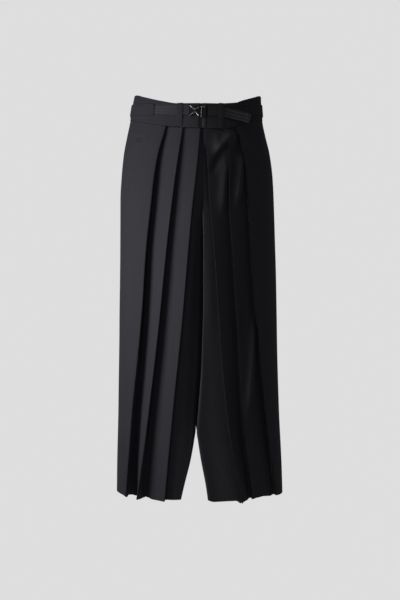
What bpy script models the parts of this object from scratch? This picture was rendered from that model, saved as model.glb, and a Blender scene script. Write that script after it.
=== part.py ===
"""Pleated wide-leg hakama trousers, worn form, hollow. Metres, +Z up, front facing -Y, wearer's right at -X.

All the shape tables are in millimetres. z = 0 is the middle of the waistband at the centre front and the origin is the
middle of the waist ring. Each cloth panel is one wall made from sections: at a height, the section runs round the body
in (distance along the form, depth inside the form), and folds back under itself at each pleat.
"""

import bpy
import bmesh
import math
import numpy as np

MM = 0.001
WALL = 1.2  # a cloth panel
BAND = 2.4  # the waistband, faced and interlined
WEB = 1.5  # webbing
GAP = 0.3  # between pieces
SIDE = 0.32  # half the gap at a side seam, where front and back meet at an angle
LAY = 1.75  # between the middles of two folded layers
FLY_END = -225.0
CROTCH_Z = -315.0
CROTCH_Y = 15.0

# the body form: height, wearer's right and left sides, front, back, squareness of the ring at the back, how roof-like its
# front is, and how far the front's crest stands towards the wearer's left of the middle
FORM = (
    ("z", "right", "left", "front", "back", "square", "roof", "crest"),
    (70, -166, 155.5, -102, 98, 2.05, 1.7, 8),
    (46, -171, 156, -105, 101, 2.05, 1.7, 8),
    (3, -178, 159.5, -110, 105, 2.1, 1.65, 8),
    (-40, -187, 168, -116, 113, 2.15, 1.65, 8),
    (-82, -195, 178, -122, 124, 2.2, 1.65, 8),
    (-144, -201, 186, -127, 135, 2.25, 1.7, 8),
    (-200, -204, 189, -130, 137, 2.3, 1.75, 8),
    (-300, -204, 192, -132, 124, 2.4, 1.85, 7),
    (-400, -205, 195, -131, 109, 2.5, 1.95, 6),
    (-544, -206.5, 197, -131, 103, 2.5, 2.1, 5),
    (-729, -209, 202, -134, 98, 2.5, 2.3, 4),
    (-868, -211.5, 208, -138, 96, 2.45, 2.4, 3),
    (-948, -213, 211, -141, 95, 2.4, 2.4, 2),
)

# one row per height for each pleat: where its ridge is across the front, how far the ridge stands off the form, the
# drop from the ridge to the face beside it, the cloth tucked under the ridge, and how the face below comes forward
PLEAT_HEAD = ("z", "x", "proud", "drop", "tuck", "bow")
PLEATS = {
    "right_1": (
        PLEAT_HEAD,
        (-28, -86.4, 0, 4.0, 28, 0.0),
        (-108, -107.9, 0, 8.5, 30, 0.0),
        (-220, -122.7, 0, 12, 32, 0.0),
        (-328, -134.4, 0, 15, 30, 0.0),
        (-500, -146.0, 0, 18, 24, 0.05),
        (-743, -170.2, 0, 24, 14, 0.5),
        (-948, -185.5, 1, 34, 6, 0.9),
    ),
    "right_2": (
        PLEAT_HEAD,
        (-28, -42.9, 0, 4.0, 28, 0.0),
        (-108, -55.1, 0, 8.5, 30, 0.0),
        (-220, -70.0, 0, 12, 32, 0.0),
        (-328, -82.6, 0, 15, 30, 0.0),
        (-500, -99.8, 0, 18, 26, 0.0),
        (-743, -127.0, 2, 23, 16, 0.15),
        (-948, -150.5, 12, 38, 7, 0.5),
    ),
    "right_3": (
        PLEAT_HEAD,
        (-28, 0.7, 0, 4.0, 28, 0.0),
        (-108, -5.8, 0, 9, 30, 0.0),
        (-220, -18.1, 0, 13, 32, 0.0),
        (-328, -28.2, 0, 16, 30, 0.0),
        (-500, -43.0, 0, 17, 28, 0.0),
        (-743, -67.8, 0, 17, 20, 0.0),
        (-948, -86.8, 3, 18, 12, 0.0),
    ),
    "left_1": (
        PLEAT_HEAD,
        (-28, 89.8, 0, 3.5, 22, 0.0),
        (-107, 108.4, 0, 5, 28, 0.0),
        (-219, 119.4, 0, 7, 30, 0.0),
        (-328, 126.0, 0, 9, 30, 0.0),
        (-500, 138.8, 0, 11, 26, 0.0),
        (-743, 162.6, 0, 12, 18, 0.0),
        (-948, 191.0, 0, 10, 9, 0.0),
    ),
    "left_2": (
        PLEAT_HEAD,
        (-28, 59.6, 0, 3.5, 22, 0.0),
        (-109, 68.8, 0, 6.5, 28, 0.0),
        (-221, 73.0, 0, 10, 30, 0.0),
        (-329, 80.2, 0, 13, 30, 0.0),
        (-500, 91.4, 0, 15, 26, 0.0),
        (-741, 106.0, 0, 17, 20, 0.0),
        (-948, 128.1, 0, 15, 12, 0.0),
    ),
    "left_3": (
        PLEAT_HEAD,
        (-28, 9.6, 0, 3.5, 28, 0.0),
        (-110, 17.7, 0, 7, 30, 0.0),
        (-221, 24.7, 0, 11, 32, 0.0),
        (-329, 35.1, 0, 14, 30, 0.0),
        (-500, 46.0, 0, 17, 28, 0.0),
        (-740, 66.3, 4, 20, 22, 0.0),
        (-948, 98.3, 22, 24, 14, 0.0),
    ),
}

# the middle plane between the legs, and where each leg's inner edge leaves it
MIDDLE = (
    ("z", "x"),
    (70, 7.4),
    (-200, 7.2),
    (-250, 5.2),
    (-480, 5.0),
    (-555, 2.6),
    (-624, 0.2),
    (-690, -4.6),
    (-742, -8.4),
    (-778, -10.4),
    (-948, -15.0),
)
# how far each leg's inner edge stands from the middle plane, the depth of the groove there, the corner's rounding, how
# far the inner side bows away behind it, and how the face before it swells forward
INNER_HEAD = ("z", "off", "depth", "round", "bow", "belly")
INNER = {
    "right": (
        INNER_HEAD,
        (70, 0.75, 3.5, 1, 0, 0),
        (-110, 0.75, 11, 1, 0, 1),
        (-240, 0.75, 24, 3, 0, 2),
        (-330, 0.75, 33, 10, 2, 3),
        (-500, 0.9, 40, 16, 6, 4),
        (-742, 1.2, 40, 14, 8, 4),
        (-778, 1.6, 36, 12, 8, 4),
        (-806, 4.6, 33, 10, 8, 4),
        (-851, 11.6, 28, 8, 8, 4),
        (-902, 23.2, 24, 6, 8, 3),
        (-948, 32.5, 20, 5, 8, 3),
    ),
    "left": (
        INNER_HEAD,
        (70, 0.75, 3.5, 1, 0, 0),
        (-110, 0.75, 11, 1, 0, 1.5),
        (-240, 0.75, 24, 3, 0, 4),
        (-330, 0.75, 33, 12, 2, 7),
        (-500, 0.9, 42, 20, 6, 9),
        (-742, 1.2, 44, 24, 8, 11),
        (-778, 1.6, 43, 26, 8, 11),
        (-806, 6.2, 42, 28, 8, 11),
        (-851, 14.6, 40, 30, 8, 11),
        (-902, 25.6, 37, 32, 8, 10),
        (-948, 33.0, 33, 34, 8, 9),
    ),
}

# how far the rise seam comes through between the legs, front and back
RISE_FRONT = (
    ("z", "y"),
    (-240, -119),
    (-252, -108),
    (-266, -88),
    (-280, -62),
    (-294, -34),
    (-306, -8),
    (-315, 15),
)
RISE_BACK = (
    ("z", "y"),
    (-170, 137),
    (-190, 128),
    (-220, 112),
    (-250, 90),
    (-276, 66),
    (-297, 40),
    (-309, 22),
    (-315, 15),
)

# the waistband's edges across the front
BAND_EDGE = (
    ("x", "low", "high"),
    (-178, 2.0, 66.0),
    (-170, -0.8, 66.0),
    (-144, -9.6, 56.8),
    (-99, -20.1, 42.1),
    (-50, -27.7, 31.9),
    (5, -31.5, 31.0),
    (52, -31.9, 31.6),
    (84, -25.0, 34.2),
    (106, -14.6, 43.6),
    (138, -3.8, 56.9),
    (152, 0.5, 63.7),
    (160, 2.0, 65.0),
)


class Track:
    """A named column of a table, eased through its rows without overshoot."""

    def __init__(self, table, name, key="z"):
        head = table[0]
        rows = sorted(table[1:], key=lambda r: r[head.index(key)])
        self.k = np.array([r[head.index(key)] for r in rows], float)
        self.v = np.array([r[head.index(name)] for r in rows], float)
        h = np.diff(self.k)
        d = np.diff(self.v) / h
        m = np.zeros(len(self.k))
        if len(d) == 1:
            m[:] = d[0]
        else:
            for i in range(1, len(m) - 1):
                if d[i - 1] * d[i] > 0:
                    w1, w2 = 2 * h[i] + h[i - 1], h[i] + 2 * h[i - 1]
                    m[i] = (w1 + w2) / (w1 / d[i - 1] + w2 / d[i])
            m[0], m[-1] = d[0], d[-1]
        self.m = m

    def __call__(self, key):
        q = min(max(float(key), self.k[0]), self.k[-1])
        i = min(max(int(np.searchsorted(self.k, q)) - 1, 0), len(self.k) - 2)
        h = self.k[i + 1] - self.k[i]
        t = (q - self.k[i]) / h
        return float(
            (2 * t**3 - 3 * t**2 + 1) * self.v[i]
            + (t**3 - 2 * t**2 + t) * h * self.m[i]
            + (-2 * t**3 + 3 * t**2) * self.v[i + 1]
            + (t**3 - t**2) * h * self.m[i + 1]
        )


form = {n: Track(FORM, n) for n in FORM[0][1:]}
pleat = {k: {n: Track(t, n) for n in PLEAT_HEAD[1:]} for k, t in PLEATS.items()}
inner = {k: {n: Track(t, n) for n in INNER_HEAD[1:]} for k, t in INNER.items()}
middle = Track(MIDDLE, "x")
rise_front, rise_back = Track(RISE_FRONT, "y"), Track(RISE_BACK, "y")
band_low, band_high = Track(BAND_EDGE, "low", "x"), Track(BAND_EDGE, "high", "x")


def ring(turn, z, out=0.0):
    """A point of the form's ring: turn is 0 at the front, 90 at the wearer's left, 180 at the back; out is outward."""
    right, left = form["right"](z), form["left"](z)
    mid, half = (right + left) / 2, (left - right) / 2
    square, roof, crest = form["square"](z), form["roof"](z), form["crest"](z)

    def at(t):
        s, c = math.sin(t), math.cos(t)
        deep, n = (-form["front"](z), roof) if c > 0 else (form["back"](z), square)
        u = math.copysign(abs(s) ** (2 / n), s)
        x = mid + half * u + (crest * (1 - u * u) if c > 0 else 0.0)
        y = -deep * math.copysign(abs(c) ** (2 / n), c)
        return np.array([x, y])

    t = math.radians(turn)
    p = at(t)
    d = at(t + 0.01) - at(t - 0.01)
    d /= np.linalg.norm(d)
    return p + out * np.array([d[1], -d[0]])


FACET = 7.5  # the waistband's facets and what lies on it share these turns


def facet(turn, z, out=0.0):
    """The ring taken as straight facets, so bands that lie on one another stay parallel."""
    k = math.floor(turn / FACET)
    t = turn / FACET - k
    return ring(k * FACET, z, out) * (1 - t) + ring((k + 1) * FACET, z, out) * t


def band_turns(first, last):
    """The facet turns between two ends, with the ends."""
    inside = [k * FACET for k in range(math.ceil(first / FACET), math.floor(last / FACET) + 1)]
    inside = [t for t in inside if t - first > 0.6 and last - t > 0.6]
    return [first] + inside + [last]


def across(x, z, front=True):
    """Where x is across the ring, from -1 at the wearer's right to 1 at the left."""
    right, left = form["right"](z), form["left"](z)
    mid, half, crest = (right + left) / 2, (left - right) / 2, form["crest"](z) if front else 0.0
    u = (x - mid) / half
    if crest:
        u = (half - math.sqrt(max(half * half - 4 * crest * (x - mid - crest), 0.0))) / (2 * crest)
    return min(max(u, -1.0), 1.0)


def turn_at(x, z):
    """The turn at which the form's front reaches x."""
    u = across(x, z)
    return math.degrees(math.asin(math.copysign(abs(u) ** (form["roof"](z) / 2), u)))


class Wrap:
    """Half of the form's ring at a height, from the middle plane out to the side, laid flat as (along, depth)."""

    def __init__(self, z, side, back=False):
        t0 = turn_at(middle(z) - 60 * side, z)
        if back:
            turns = np.linspace(side * 180 - t0, side * 90, 240)
        else:
            turns = np.linspace(t0, side * 90, 240)
        p = np.array([ring(t, z) for t in turns])
        d = np.gradient(p, axis=0)
        d /= np.linalg.norm(d, axis=1)[:, None]
        n = np.stack([-d[:, 1], d[:, 0]], 1) * side * (-1 if back else 1)
        self.p, self.n = p, n
        a = np.concatenate([[0], np.cumsum(np.linalg.norm(np.diff(p, axis=0), axis=1))])
        x = p[:, 0] * side
        self.a = a - np.interp(middle(z) * side, x, a)
        self.x, self.side = x, side
        self.reach = self.a[-1]

    def along(self, x):
        return float(np.interp(x * self.side, self.x, self.a))

    def at(self, a, depth):
        px, py = (np.interp(a, self.a, self.p[:, k]) for k in (0, 1))
        nx, ny = (np.interp(a, self.a, self.n[:, k]) for k in (0, 1))
        return np.array([px + depth * nx, py + depth * ny])


def corner_path(a, b, c, radius):
    """From a to b to c with the corner at b rounded."""
    a, b, c = (np.asarray(v, float) for v in (a, b, c))
    la, lc = np.linalg.norm(a - b), np.linalg.norm(c - b)
    r = max(min(radius, 0.45 * la, 0.6 * lc), 1e-3)
    p, q = b + (a - b) / la * r, b + (c - b) / max(lc, 1e-9) * r
    t = np.linspace(0, 1, 14)[:, None]
    arc = (1 - t) ** 2 * p + 2 * t * (1 - t) * b + t**2 * q
    return p, arc, q


def even(path, count):
    """A path taken again as this many points, evenly spaced."""
    path = np.asarray(path, float)
    step = np.linalg.norm(np.diff(path, axis=0), axis=1)
    s = np.concatenate([[0], np.cumsum(step)])
    q = np.linspace(0, s[-1], count)
    return np.stack([np.interp(q, s, path[:, k]) for k in (0, 1)], 1)


def front_section(z, side, side_n=7, fold_n=2, face_n=2, inner_n=9):
    """The middle line of a front panel at one height, from the side seam to the rise seam or inseam."""
    who = "left" if side > 0 else "right"
    w = Wrap(z, side)
    folds = [{n: f(z) for n, f in pleat[f"{who}_{i}"].items()} for i in (1, 2, 3)]
    for f in folds:
        f["a"] = w.along(f["x"])
    pts = []
    # side face: from the seam to the first ridge
    start = w.reach - SIDE
    face = [(w.reach, 0.0), (folds[0]["a"], -folds[0]["proud"])]
    first, tuck = folds[0]["a"], folds[0]["tuck"]
    spots = list(np.linspace(start, first + 1.25 * tuck, side_n - 2)) + [first + 0.6 * tuck, first]
    for a in spots:
        pts.append((a, -folds[0]["proud"] * ((start - a) / (start - first)) ** 2))

    def depth_on(face, a):
        fa = np.array(face)[::-1]
        return float(np.interp(a, fa[:, 0], fa[:, 1]))

    def fold(before, nose, after):
        """The three points of a fold: the two layers stand LAY apart, square to the line out of its nose."""
        before, nose, after = (np.array(v, float) for v in (before, nose, after))
        d1, d2 = nose - before, after - nose
        e = d1 / np.linalg.norm(d1) - d2 / np.linalg.norm(d2)
        e /= np.linalg.norm(e)
        n = np.array([-e[1], e[0]])
        if n.dot(after - before) < 0 or abs(n.dot(after - before)) < 1e-6:
            n = -n
        mid = nose - e * 0.3 * LAY
        return [tuple(mid - n * LAY / 2), tuple(nose + e * 0.12 * LAY), tuple(mid + n * LAY / 2)]

    for i, f in enumerate(folds):
        a, r, h = f["a"], -f["proud"], f["tuck"]
        low = r + f["drop"]
        v = max(low + 0.12 * f["drop"] * h / 30, depth_on(face, a + h) + 2 * LAY + 0.2)
        ridge, valley = (a, r + LAY / 2), (a + h, v - LAY / 2)
        if i < 2:
            g = folds[i + 1]
            end = -g["proud"]
            shape = [(a + (g["a"] - a) * t, end + (low - end) * (1 - t) * (1 + g["bow"] * t)) for t in np.linspace(0, 1, 33)]
        flat = max(0.0, min(1.0, (14 - f["drop"]) / 8))
        came = (ridge[0] + 8, ridge[1]) if flat > 0.5 else pts[-2]
        goes = (ridge[0] + 8, ridge[1] + 0.01) if flat > 0.5 else valley
        turn = fold(came, ridge, goes) if flat <= 0.5 else [(a, r), (a - 0.45 * LAY, r + LAY / 2), (a, r + LAY)]
        pts[-1] = turn[0]
        pts += turn[1:]
        under = turn[2]
        turn = fold(ridge, valley, (a, low)) if flat <= 0.5 else [(a + h, v - LAY), (a + h + 0.45 * LAY, v - LAY / 2), (a + h, v)]
        for t in np.linspace(0, 1, fold_n + 2)[1:-1]:
            p = (under[0] + (turn[0][0] - under[0]) * t, under[1] + (turn[0][1] - under[1]) * t)
            pts.append((p[0], max(p[1], depth_on(face, p[0]) + LAY)))
        pts += turn
        back = turn[2]
        for t in np.linspace(0, 1, fold_n + 1)[1:-1]:
            p = (back[0] + (a - back[0]) * t, back[1] + (low - back[1]) * t)
            pts.append((p[0], max(p[1], depth_on(face, p[0]) + 2 * LAY)))
        pts.append((a, low))
        if i < 2:
            face = [(a + h, v), (a, low)] + shape[1:]
            for t in np.linspace(0, 1, face_n + 1)[1:]:
                pts.append((a + (g["a"] - a) * t, end + (low - end) * (1 - t) * (1 + g["bow"] * t)))
    line = np.array([w.at(a, d) for a, d in pts])
    # inner face: from under the third ridge to the groove, then back along the middle plane
    k = {n: f(z) for n, f in inner[who].items()}
    run = max(0.0, min((-240 - z) * 0.9, 1e9))
    y_end = rise_front(z) if z > CROTCH_Z else CROTCH_Y
    mid = middle(z)
    if z > -240:
        off = GAP / 2
    else:
        off = k["off"]
    xc = mid + side * off
    c = w.at(w.along(xc), k["depth"])
    c[0] = xc
    last = line[-1]
    if z > -240:
        t = np.linspace(0, 1, 20)[:, None]
        path = last + (c - last) * t - np.array([0, k["belly"]]) * np.sin(np.pi * t)
    else:
        y_end = max(y_end, c[1] + 0.5)
        xe = mid + side * 0.75
        if z < -740:
            xe = xc - side * (-3.0 if side < 0 else 2.0) * (z + 740) / -208 * -1
            xe = xc + side * 3.0 * (-740 - z) / 208
        e = np.array([xe, y_end - GAP / 2 - 0.15])
        p, arc, q = corner_path(last, c, e, k["round"])
        t = np.linspace(0, 1, 10)[:, None]
        back = q + (e - q) * t
        back[:, 0] += (side * k["bow"] * np.sin(np.pi * t) ** 2)[:, 0]
        swell = np.array([0, k["belly"]]) * np.sin(np.pi * t)
        path = np.concatenate([(last + (p - last) * t - swell)[:-1], arc, back[1:]])
    return np.concatenate([line[:-1], even(path, inner_n)])


def back_section(z, side, count=13):
    """The middle line of a back panel at one height, from the side seam round to the rise seam or inseam."""
    who = "left" if side > 0 else "right"
    w = Wrap(z, side, back=True)
    mid = middle(z)
    deep = 0.0 if z > -170 else 16 * min((-170 - z) / 160, 1.0)
    if z > -170:
        stop = w.along(mid + side * GAP / 2)
        path = np.array([w.at(a, 0.0) for a in np.linspace(w.reach - SIDE, stop, 60)])
        return even(path, count)
    off = inner[who]["off"](z)
    lean = 0.0 if z > -740 else 6.0 * (-740 - z) / 208
    xc = mid + side * (off + lean)
    xe = mid + side * 0.75 if z > -740 else mid + side * off + side * 3.0 * (-740 - z) / 208
    c = w.at(w.along(xc), deep)
    c[0] = xc
    y_end = rise_back(z) if z > CROTCH_Z else CROTCH_Y
    y_end = min(y_end, c[1] - 0.5)
    e = np.array([xe, y_end + GAP / 2 + 0.15])
    r = 2 + 40 * min((-170 - z) / 200, 1.0)
    turn = w.along(xc + side * (6 + r))
    body = np.array([w.at(a, deep * math.exp(-((a - w.along(xc)) / 26.0) ** 2)) for a in np.linspace(w.reach - SIDE, turn, 50)])
    p, arc, q = corner_path(body[-1], c, e, r)
    t = np.linspace(0, 1, 10)[:, None]
    back = q + (e - q) * t
    back[:, 0] += (side * inner[who]["bow"](z) * np.sin(np.pi * t) ** 2)[:, 0]
    path = np.concatenate([body, body[-1] + (p - body[-1]) * t[1:-1], arc, back[1:]])
    return even(path, count)


def offset(line, by, square=False):
    """A section's middle line moved sideways, mitred at its corners; square keeps its last edge on the middle plane."""
    d = np.diff(line, axis=0)
    d /= np.linalg.norm(d, axis=1)[:, None]
    n = np.stack([d[:, 1], -d[:, 0]], 1)
    first, last = n[0], n[-1]
    m = n[:-1] + n[1:]
    m /= np.maximum((m * n[1:]).sum(1), 0.35)[:, None]
    moved = line + by * np.concatenate([[first], m, [last]])
    if square:
        moved[-1, 0] = line[-1, 0]
    return moved


def turn_of(x, y, z):
    """The turn of a point on the form or near it."""
    n = form["roof"](z) if y < 0 else form["square"](z)
    u = across(x, z, y < 0)
    v = -y / -form["front"](z) if y < 0 else -y / form["back"](z)
    s, c = (math.copysign(abs(q) ** (n / 2), q) for q in (u, v))
    return math.degrees(math.atan2(s, c))


def seam_low(turn):
    """Height of the waistband's lower edge."""
    x, y = ring(turn, -15)
    return band_low(x) if y < 0 else 2.0 - 2.0 * min(y / 60.0, 1.0)


def seam_high(turn):
    """Height of the waistband's upper edge."""
    x, y = ring(turn, 50)
    return band_high(x) if y < 0 else 65.0 - 1.5 * min(y / 60.0, 1.0)


def seam_facet(turn):
    k = math.floor(turn / FACET)
    t = turn / FACET - k
    return seam_low(k * FACET) * (1 - t) + seam_low((k + 1) * FACET) * t


def new_object(name, verts, faces, material):
    mesh = bpy.data.meshes.new(name)
    mesh.from_pydata([tuple(float(c) * MM for c in v) for v in verts], [], faces)
    mesh.materials.append(material)
    bm = bmesh.new()
    bm.from_mesh(mesh)
    bmesh.ops.triangulate(bm, faces=bm.faces, quad_method="FIXED", ngon_method="EAR_CLIP")
    bmesh.ops.recalc_face_normals(bm, faces=bm.faces)
    if bm.calc_volume(signed=True) < 0:
        bmesh.ops.reverse_faces(bm, faces=bm.faces)
    bm.to_mesh(mesh)
    bm.free()
    obj = bpy.data.objects.new(name, mesh)
    bpy.context.scene.collection.objects.link(obj)
    return obj


def wall(name, outer, inner_grid, material):
    """A wall from two grids of points of one size: rows down, columns along."""
    rows, cols = len(outer), len(outer[0])
    verts = [p for g in (outer, inner_grid) for r in g for p in r]
    at = lambda s, r, c: s * rows * cols + r * cols + c
    faces = []
    mid = (np.array(outer, float) + np.array(inner_grid, float)) / 2
    for r in range(rows - 1):
        for c in range(cols - 1):
            # both faces of the wall split along the same, shorter diagonal, so they stay parallel
            one = np.linalg.norm(mid[r, c] - mid[r + 1, c + 1]) <= np.linalg.norm(mid[r, c + 1] - mid[r + 1, c])
            k = [(r, c), (r, c + 1), (r + 1, c + 1), (r + 1, c)]
            tris = [(0, 1, 2), (0, 2, 3)] if one else [(0, 1, 3), (1, 2, 3)]
            for t in tris:
                faces.append([at(0, *k[i]) for i in t][::-1])
                faces.append([at(1, *k[i]) for i in t])
    rim = [(0, c) for c in range(cols)] + [(r, cols - 1) for r in range(1, rows)]
    rim += [(rows - 1, c) for c in range(cols - 2, -1, -1)] + [(r, 0) for r in range(rows - 2, 0, -1)]
    for (r0, c0), (r1, c1) in zip(rim, rim[1:] + rim[:1]):
        faces.append([at(0, r0, c0), at(0, r1, c1), at(1, r1, c1), at(1, r0, c0)])
    return new_object(name, verts, faces, material)


def panel(name, section, levels, butt, material):
    """A cloth panel: its sections at even heights, with the top rows eased up to the waistband's seam."""
    heights = np.concatenate([np.arange(8, -100, -6.0), np.arange(-100, -230, -10.0), np.arange(-230, -330, -3.0), np.arange(-330, -949, -30.0), [-948.0]])
    heights = np.array(sorted({round(float(h), 3) for h in heights} | {float(h) for h in levels}))
    lines = np.array([section(z) for z in heights])
    out_lines = np.array([offset(l, WALL / 2, z > butt) for z, l in zip(heights, lines)])
    in_lines = np.array([offset(l, -WALL / 2, z > butt) for z, l in zip(heights, lines)])
    top = levels[0]
    # the top edge follows the waistband's lower edge, and stays under each of its corners
    lift = np.zeros(lines.shape[1])
    for _ in range(3):
        turns = []
        for c in range(len(lift)):
            q = top + lift[c]
            x, y = (np.interp(q, heights, lines[:, c, k]) for k in (0, 1))
            turns.append(turn_of(x, y, q))
            lift[c] = seam_facet(turns[-1]) - GAP - top
    turns = np.array(turns)
    for k in range(-int(180 / FACET), int(180 / FACET) + 1):
        for c in range(len(lift) - 1):
            lo, hi = sorted((turns[c], turns[c + 1]))
            if hi - lo > 1e-6 and lo < k * FACET < hi and hi - lo < 90:
                t = (k * FACET - turns[c]) / (turns[c + 1] - turns[c])
                over = top + lift[c] * (1 - t) + lift[c + 1] * t - (seam_low(k * FACET) - GAP)
                if over > 0:
                    lift[c] -= over
                    lift[c + 1] -= over
    fade = [max(0.0, 1 - (top - z) / 110.0) ** 1.3 for z in levels]
    grids = []
    for src in (out_lines, in_lines):
        grid = []
        for z, f in zip(levels, fade):
            row = []
            for c in range(src.shape[1]):
                q = z + lift[c] * f
                row.append((np.interp(q, heights, src[:, c, 0]), np.interp(q, heights, src[:, c, 1]), q))
            grid.append(row)
        grids.append(grid)
    return wall(name, grids[0], grids[1], material)


def strip(name, stations, thick, material):
    """A band that lies along the form: stations of (turn, low z, high z, stand-off of its middle)."""
    outer, inside = [], []
    for sgn, grid in ((1, outer), (-1, inside)):
        for k in (1, 0.5, 0):
            row = []
            for turn, low, high, off in stations:
                z = low + (high - low) * k
                p = facet(turn, z, off + sgn * thick / 2)
                row.append((p[0], p[1], z))
            grid.append(row)
    return wall(name, outer, inside, material)


def box(name, lo, hi, material, frame):
    """A box in a local frame: along, up and out from a point on the band."""
    o, ax, up, out = frame
    c = [o + ax * x + up * y + out * z for x in (lo[0], hi[0]) for y in (lo[1], hi[1]) for z in (lo[2], hi[2])]
    faces = [(0, 1, 3, 2), (4, 6, 7, 5), (0, 4, 5, 1), (2, 3, 7, 6), (0, 2, 6, 4), (1, 5, 7, 3)]
    return new_object(name, c, faces, material)


def extrude(name, outline, low, high, material, frame):
    """A flat outline (along, up) taken from one height out to another."""
    o, ax, up, out = frame
    n = len(outline)
    verts = [o + ax * x + up * y + out * z for z in (low, high) for x, y in outline]
    faces = [list(range(n))[::-1], list(range(n, 2 * n))]
    faces += [[i, (i + 1) % n, n + (i + 1) % n, n + i] for i in range(n)]
    return new_object(name, verts, faces, material)


def material(name, colour, rough, metal=0.0):
    m = bpy.data.materials.new(name)
    m.use_nodes = True
    b = m.node_tree.nodes["Principled BSDF"]
    b.inputs["Base Color"].default_value = (*colour, 1.0)
    b.inputs["Roughness"].default_value = rough
    b.inputs["Metallic"].default_value = metal
    return m


def main():
    for ob in list(bpy.data.objects):
        bpy.data.objects.remove(ob, do_unlink=True)
    suiting = material("wool_suiting", (0.028, 0.027, 0.03), 0.9)
    webbing = material("webbing", (0.05, 0.05, 0.053), 0.75)
    plastic = material("buckle_plastic", (0.02, 0.02, 0.021), 0.4)

    low_rows = (-330, -420, -540, -660, -778, -868, -948)
    front_rows = (-31.8, -62, -100, -150, -200, -240, -262, -285, -304, -315) + low_rows
    back_rows = (-2.0, -60, -120, -170, -205, -240, -270, -295, -309, -315) + low_rows
    for side, who in ((-1, "right"), (1, "left")):
        panel(f"front_{who}", lambda z: front_section(z, side), front_rows, -240, suiting)
        panel(f"back_{who}", lambda z: back_section(z, side), back_rows, -170, suiting)

    # fly placket: a strip behind the closed front opening, made from the lines of both fronts moved in
    lines = {}
    rows = (-40, -80, -120, -160, -200, -232)
    xs = (-11, -5, 1, 7, 13, 19, 25)
    outer, inside = [], []
    for z in rows:
        deep = np.concatenate([front_section(z, s, 9, 6, 6, 12) for s in (-1, 1)])
        near = deep[(deep[:, 1] < 0)]
        row_o, row_i = [], []
        for x in xs:
            xx = x if z > -200 else x * 0.9 + 0.7
            ys = [max(near[abs(near[:, 0] - q) < 2.5][:, 1]) for q in (xx - 2, xx, xx + 2) if (abs(near[:, 0] - q) < 2.5).any()]
            y = max(ys) + WALL / 2 + 0.9
            row_o.append((xx, y, z))
            row_i.append((xx, y + WALL, z))
        outer.append(row_o)
        inside.append(row_i)
    wall("fly_placket", outer, inside, suiting)

    # waistband: one faced strip round the waist, its end passing under itself at the centre front
    start = turn_at(7.6, 0)
    stations = []
    for t in band_turns(start, start + 359.7) + [start + 362, start + 366, start + 371]:
        step = (t - (start + 350)) / 9.7
        inward = -(BAND + GAP + 0.1) * min(max(step, 0.0), 1.0)
        stations.append((t, seam_facet(t), seam_high(t), inward))
    strip("waistband", stations, BAND, suiting)

    # belt of the same cloth, round the back between the webbing's two ends
    belt_off = BAND / 2 + GAP + 0.2 + 1.2
    def belt_mid(x, y):
        u = min(abs(x + 8) / 168.0, 1.0) if y < 0 else 1.0
        return 14.5 + 14.5 * u**1.8 if y < 0 else 29.0 + min(y / 60.0, 1.0)
    left_end, right_end = turn_at(112, 14), turn_at(-114, 14)
    stations = []
    for t in band_turns(left_end, right_end + 360):
        x, y = ring(t, 20)
        m = belt_mid(x, y)
        stations.append((t, m - 14, m + 14, belt_off))
    strip("belt_back", stations, 2.4, suiting)

    web_off = BAND / 2 + GAP + 0.2 + WEB / 2
    def webs(name, x0, x1, off, drop0, drop1):
        st = []
        for t in band_turns(turn_at(x0, 12), turn_at(x1, 12)):
            x = ring(t, 12)[0]
            m = belt_mid(x, -1) + drop0 + (drop1 - drop0) * (x - x0) / (x1 - x0)
            st.append((t, m - 12.7, m + 12.7, off))
        return strip(name, st, WEB, webbing)
    webs("webbing_right", -113.2, -25.2, web_off, 0, -1)
    webs("webbing_left", 17.8, 111.2, web_off, -4.5, 0)

    # the free end: over the left webbing, through the loop, then hanging a little off the body
    free = []
    for t in band_turns(turn_at(18.6, 10), turn_at(57, 10)):
        p = facet(t, 10, web_off + WEB + GAP + 0.15)
        free.append((p[0], p[1], belt_mid(p[0], -1) - 4.5))
    lead = np.array(free[-1]) - np.array(free[-2])
    lead /= np.linalg.norm(lead)
    p = np.array(free[-1])
    for k in range(5):
        lead = lead + np.array([0, 0.035 if k > 1 else 0.0, -0.035])
        lead /= np.linalg.norm(lead)
        p = p + lead * 14.0
        free.append(tuple(p))
    free = np.array(free)
    d = np.gradient(free, axis=0)
    d /= np.linalg.norm(d, axis=1)[:, None]
    up = []
    for c in range(len(free)):
        t = turn_at(min(free[c][0], 57), 10)
        r = (facet(t, 26) - facet(t, -6)) / 32.0
        u = np.array([r[0], r[1], 1.0])
        u -= d[c] * u.dot(d[c])
        up.append(u / np.linalg.norm(u))
    up = np.array(up)
    n = np.cross(d, up)
    outer = [[tuple(free[c] + n[c] * WEB / 2 + up[c] * k) for c in range(len(free))] for k in (12.5, 0, -12.5)]
    inside = [[tuple(free[c] - n[c] * WEB / 2 + up[c] * k) for c in range(len(free))] for k in (12.5, 0, -12.5)]
    wall("webbing_free_end", outer, inside, webbing)

    # buckle: the socket half takes the right webbing, the prong half the left webbing
    mid_turn = turn_at(-4, 9)
    o2 = ring(mid_turn, 9, BAND / 2 + GAP + 0.5)
    ax = ring(turn_at(14, 9), 9) - ring(turn_at(-22, 9), 9)
    ax = np.array([ax[0], ax[1], -1.6])
    ax /= np.linalg.norm(ax)
    rise = (ring(mid_turn, 25) - ring(mid_turn, -7)) / 32.0
    upv = np.array([rise[0], rise[1], 1.0])
    upv -= ax * upv.dot(ax)
    upv /= np.linalg.norm(upv)
    out = np.cross(ax, upv)
    frame = (np.array([o2[0], o2[1], 9.0]), ax, upv, out)
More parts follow.
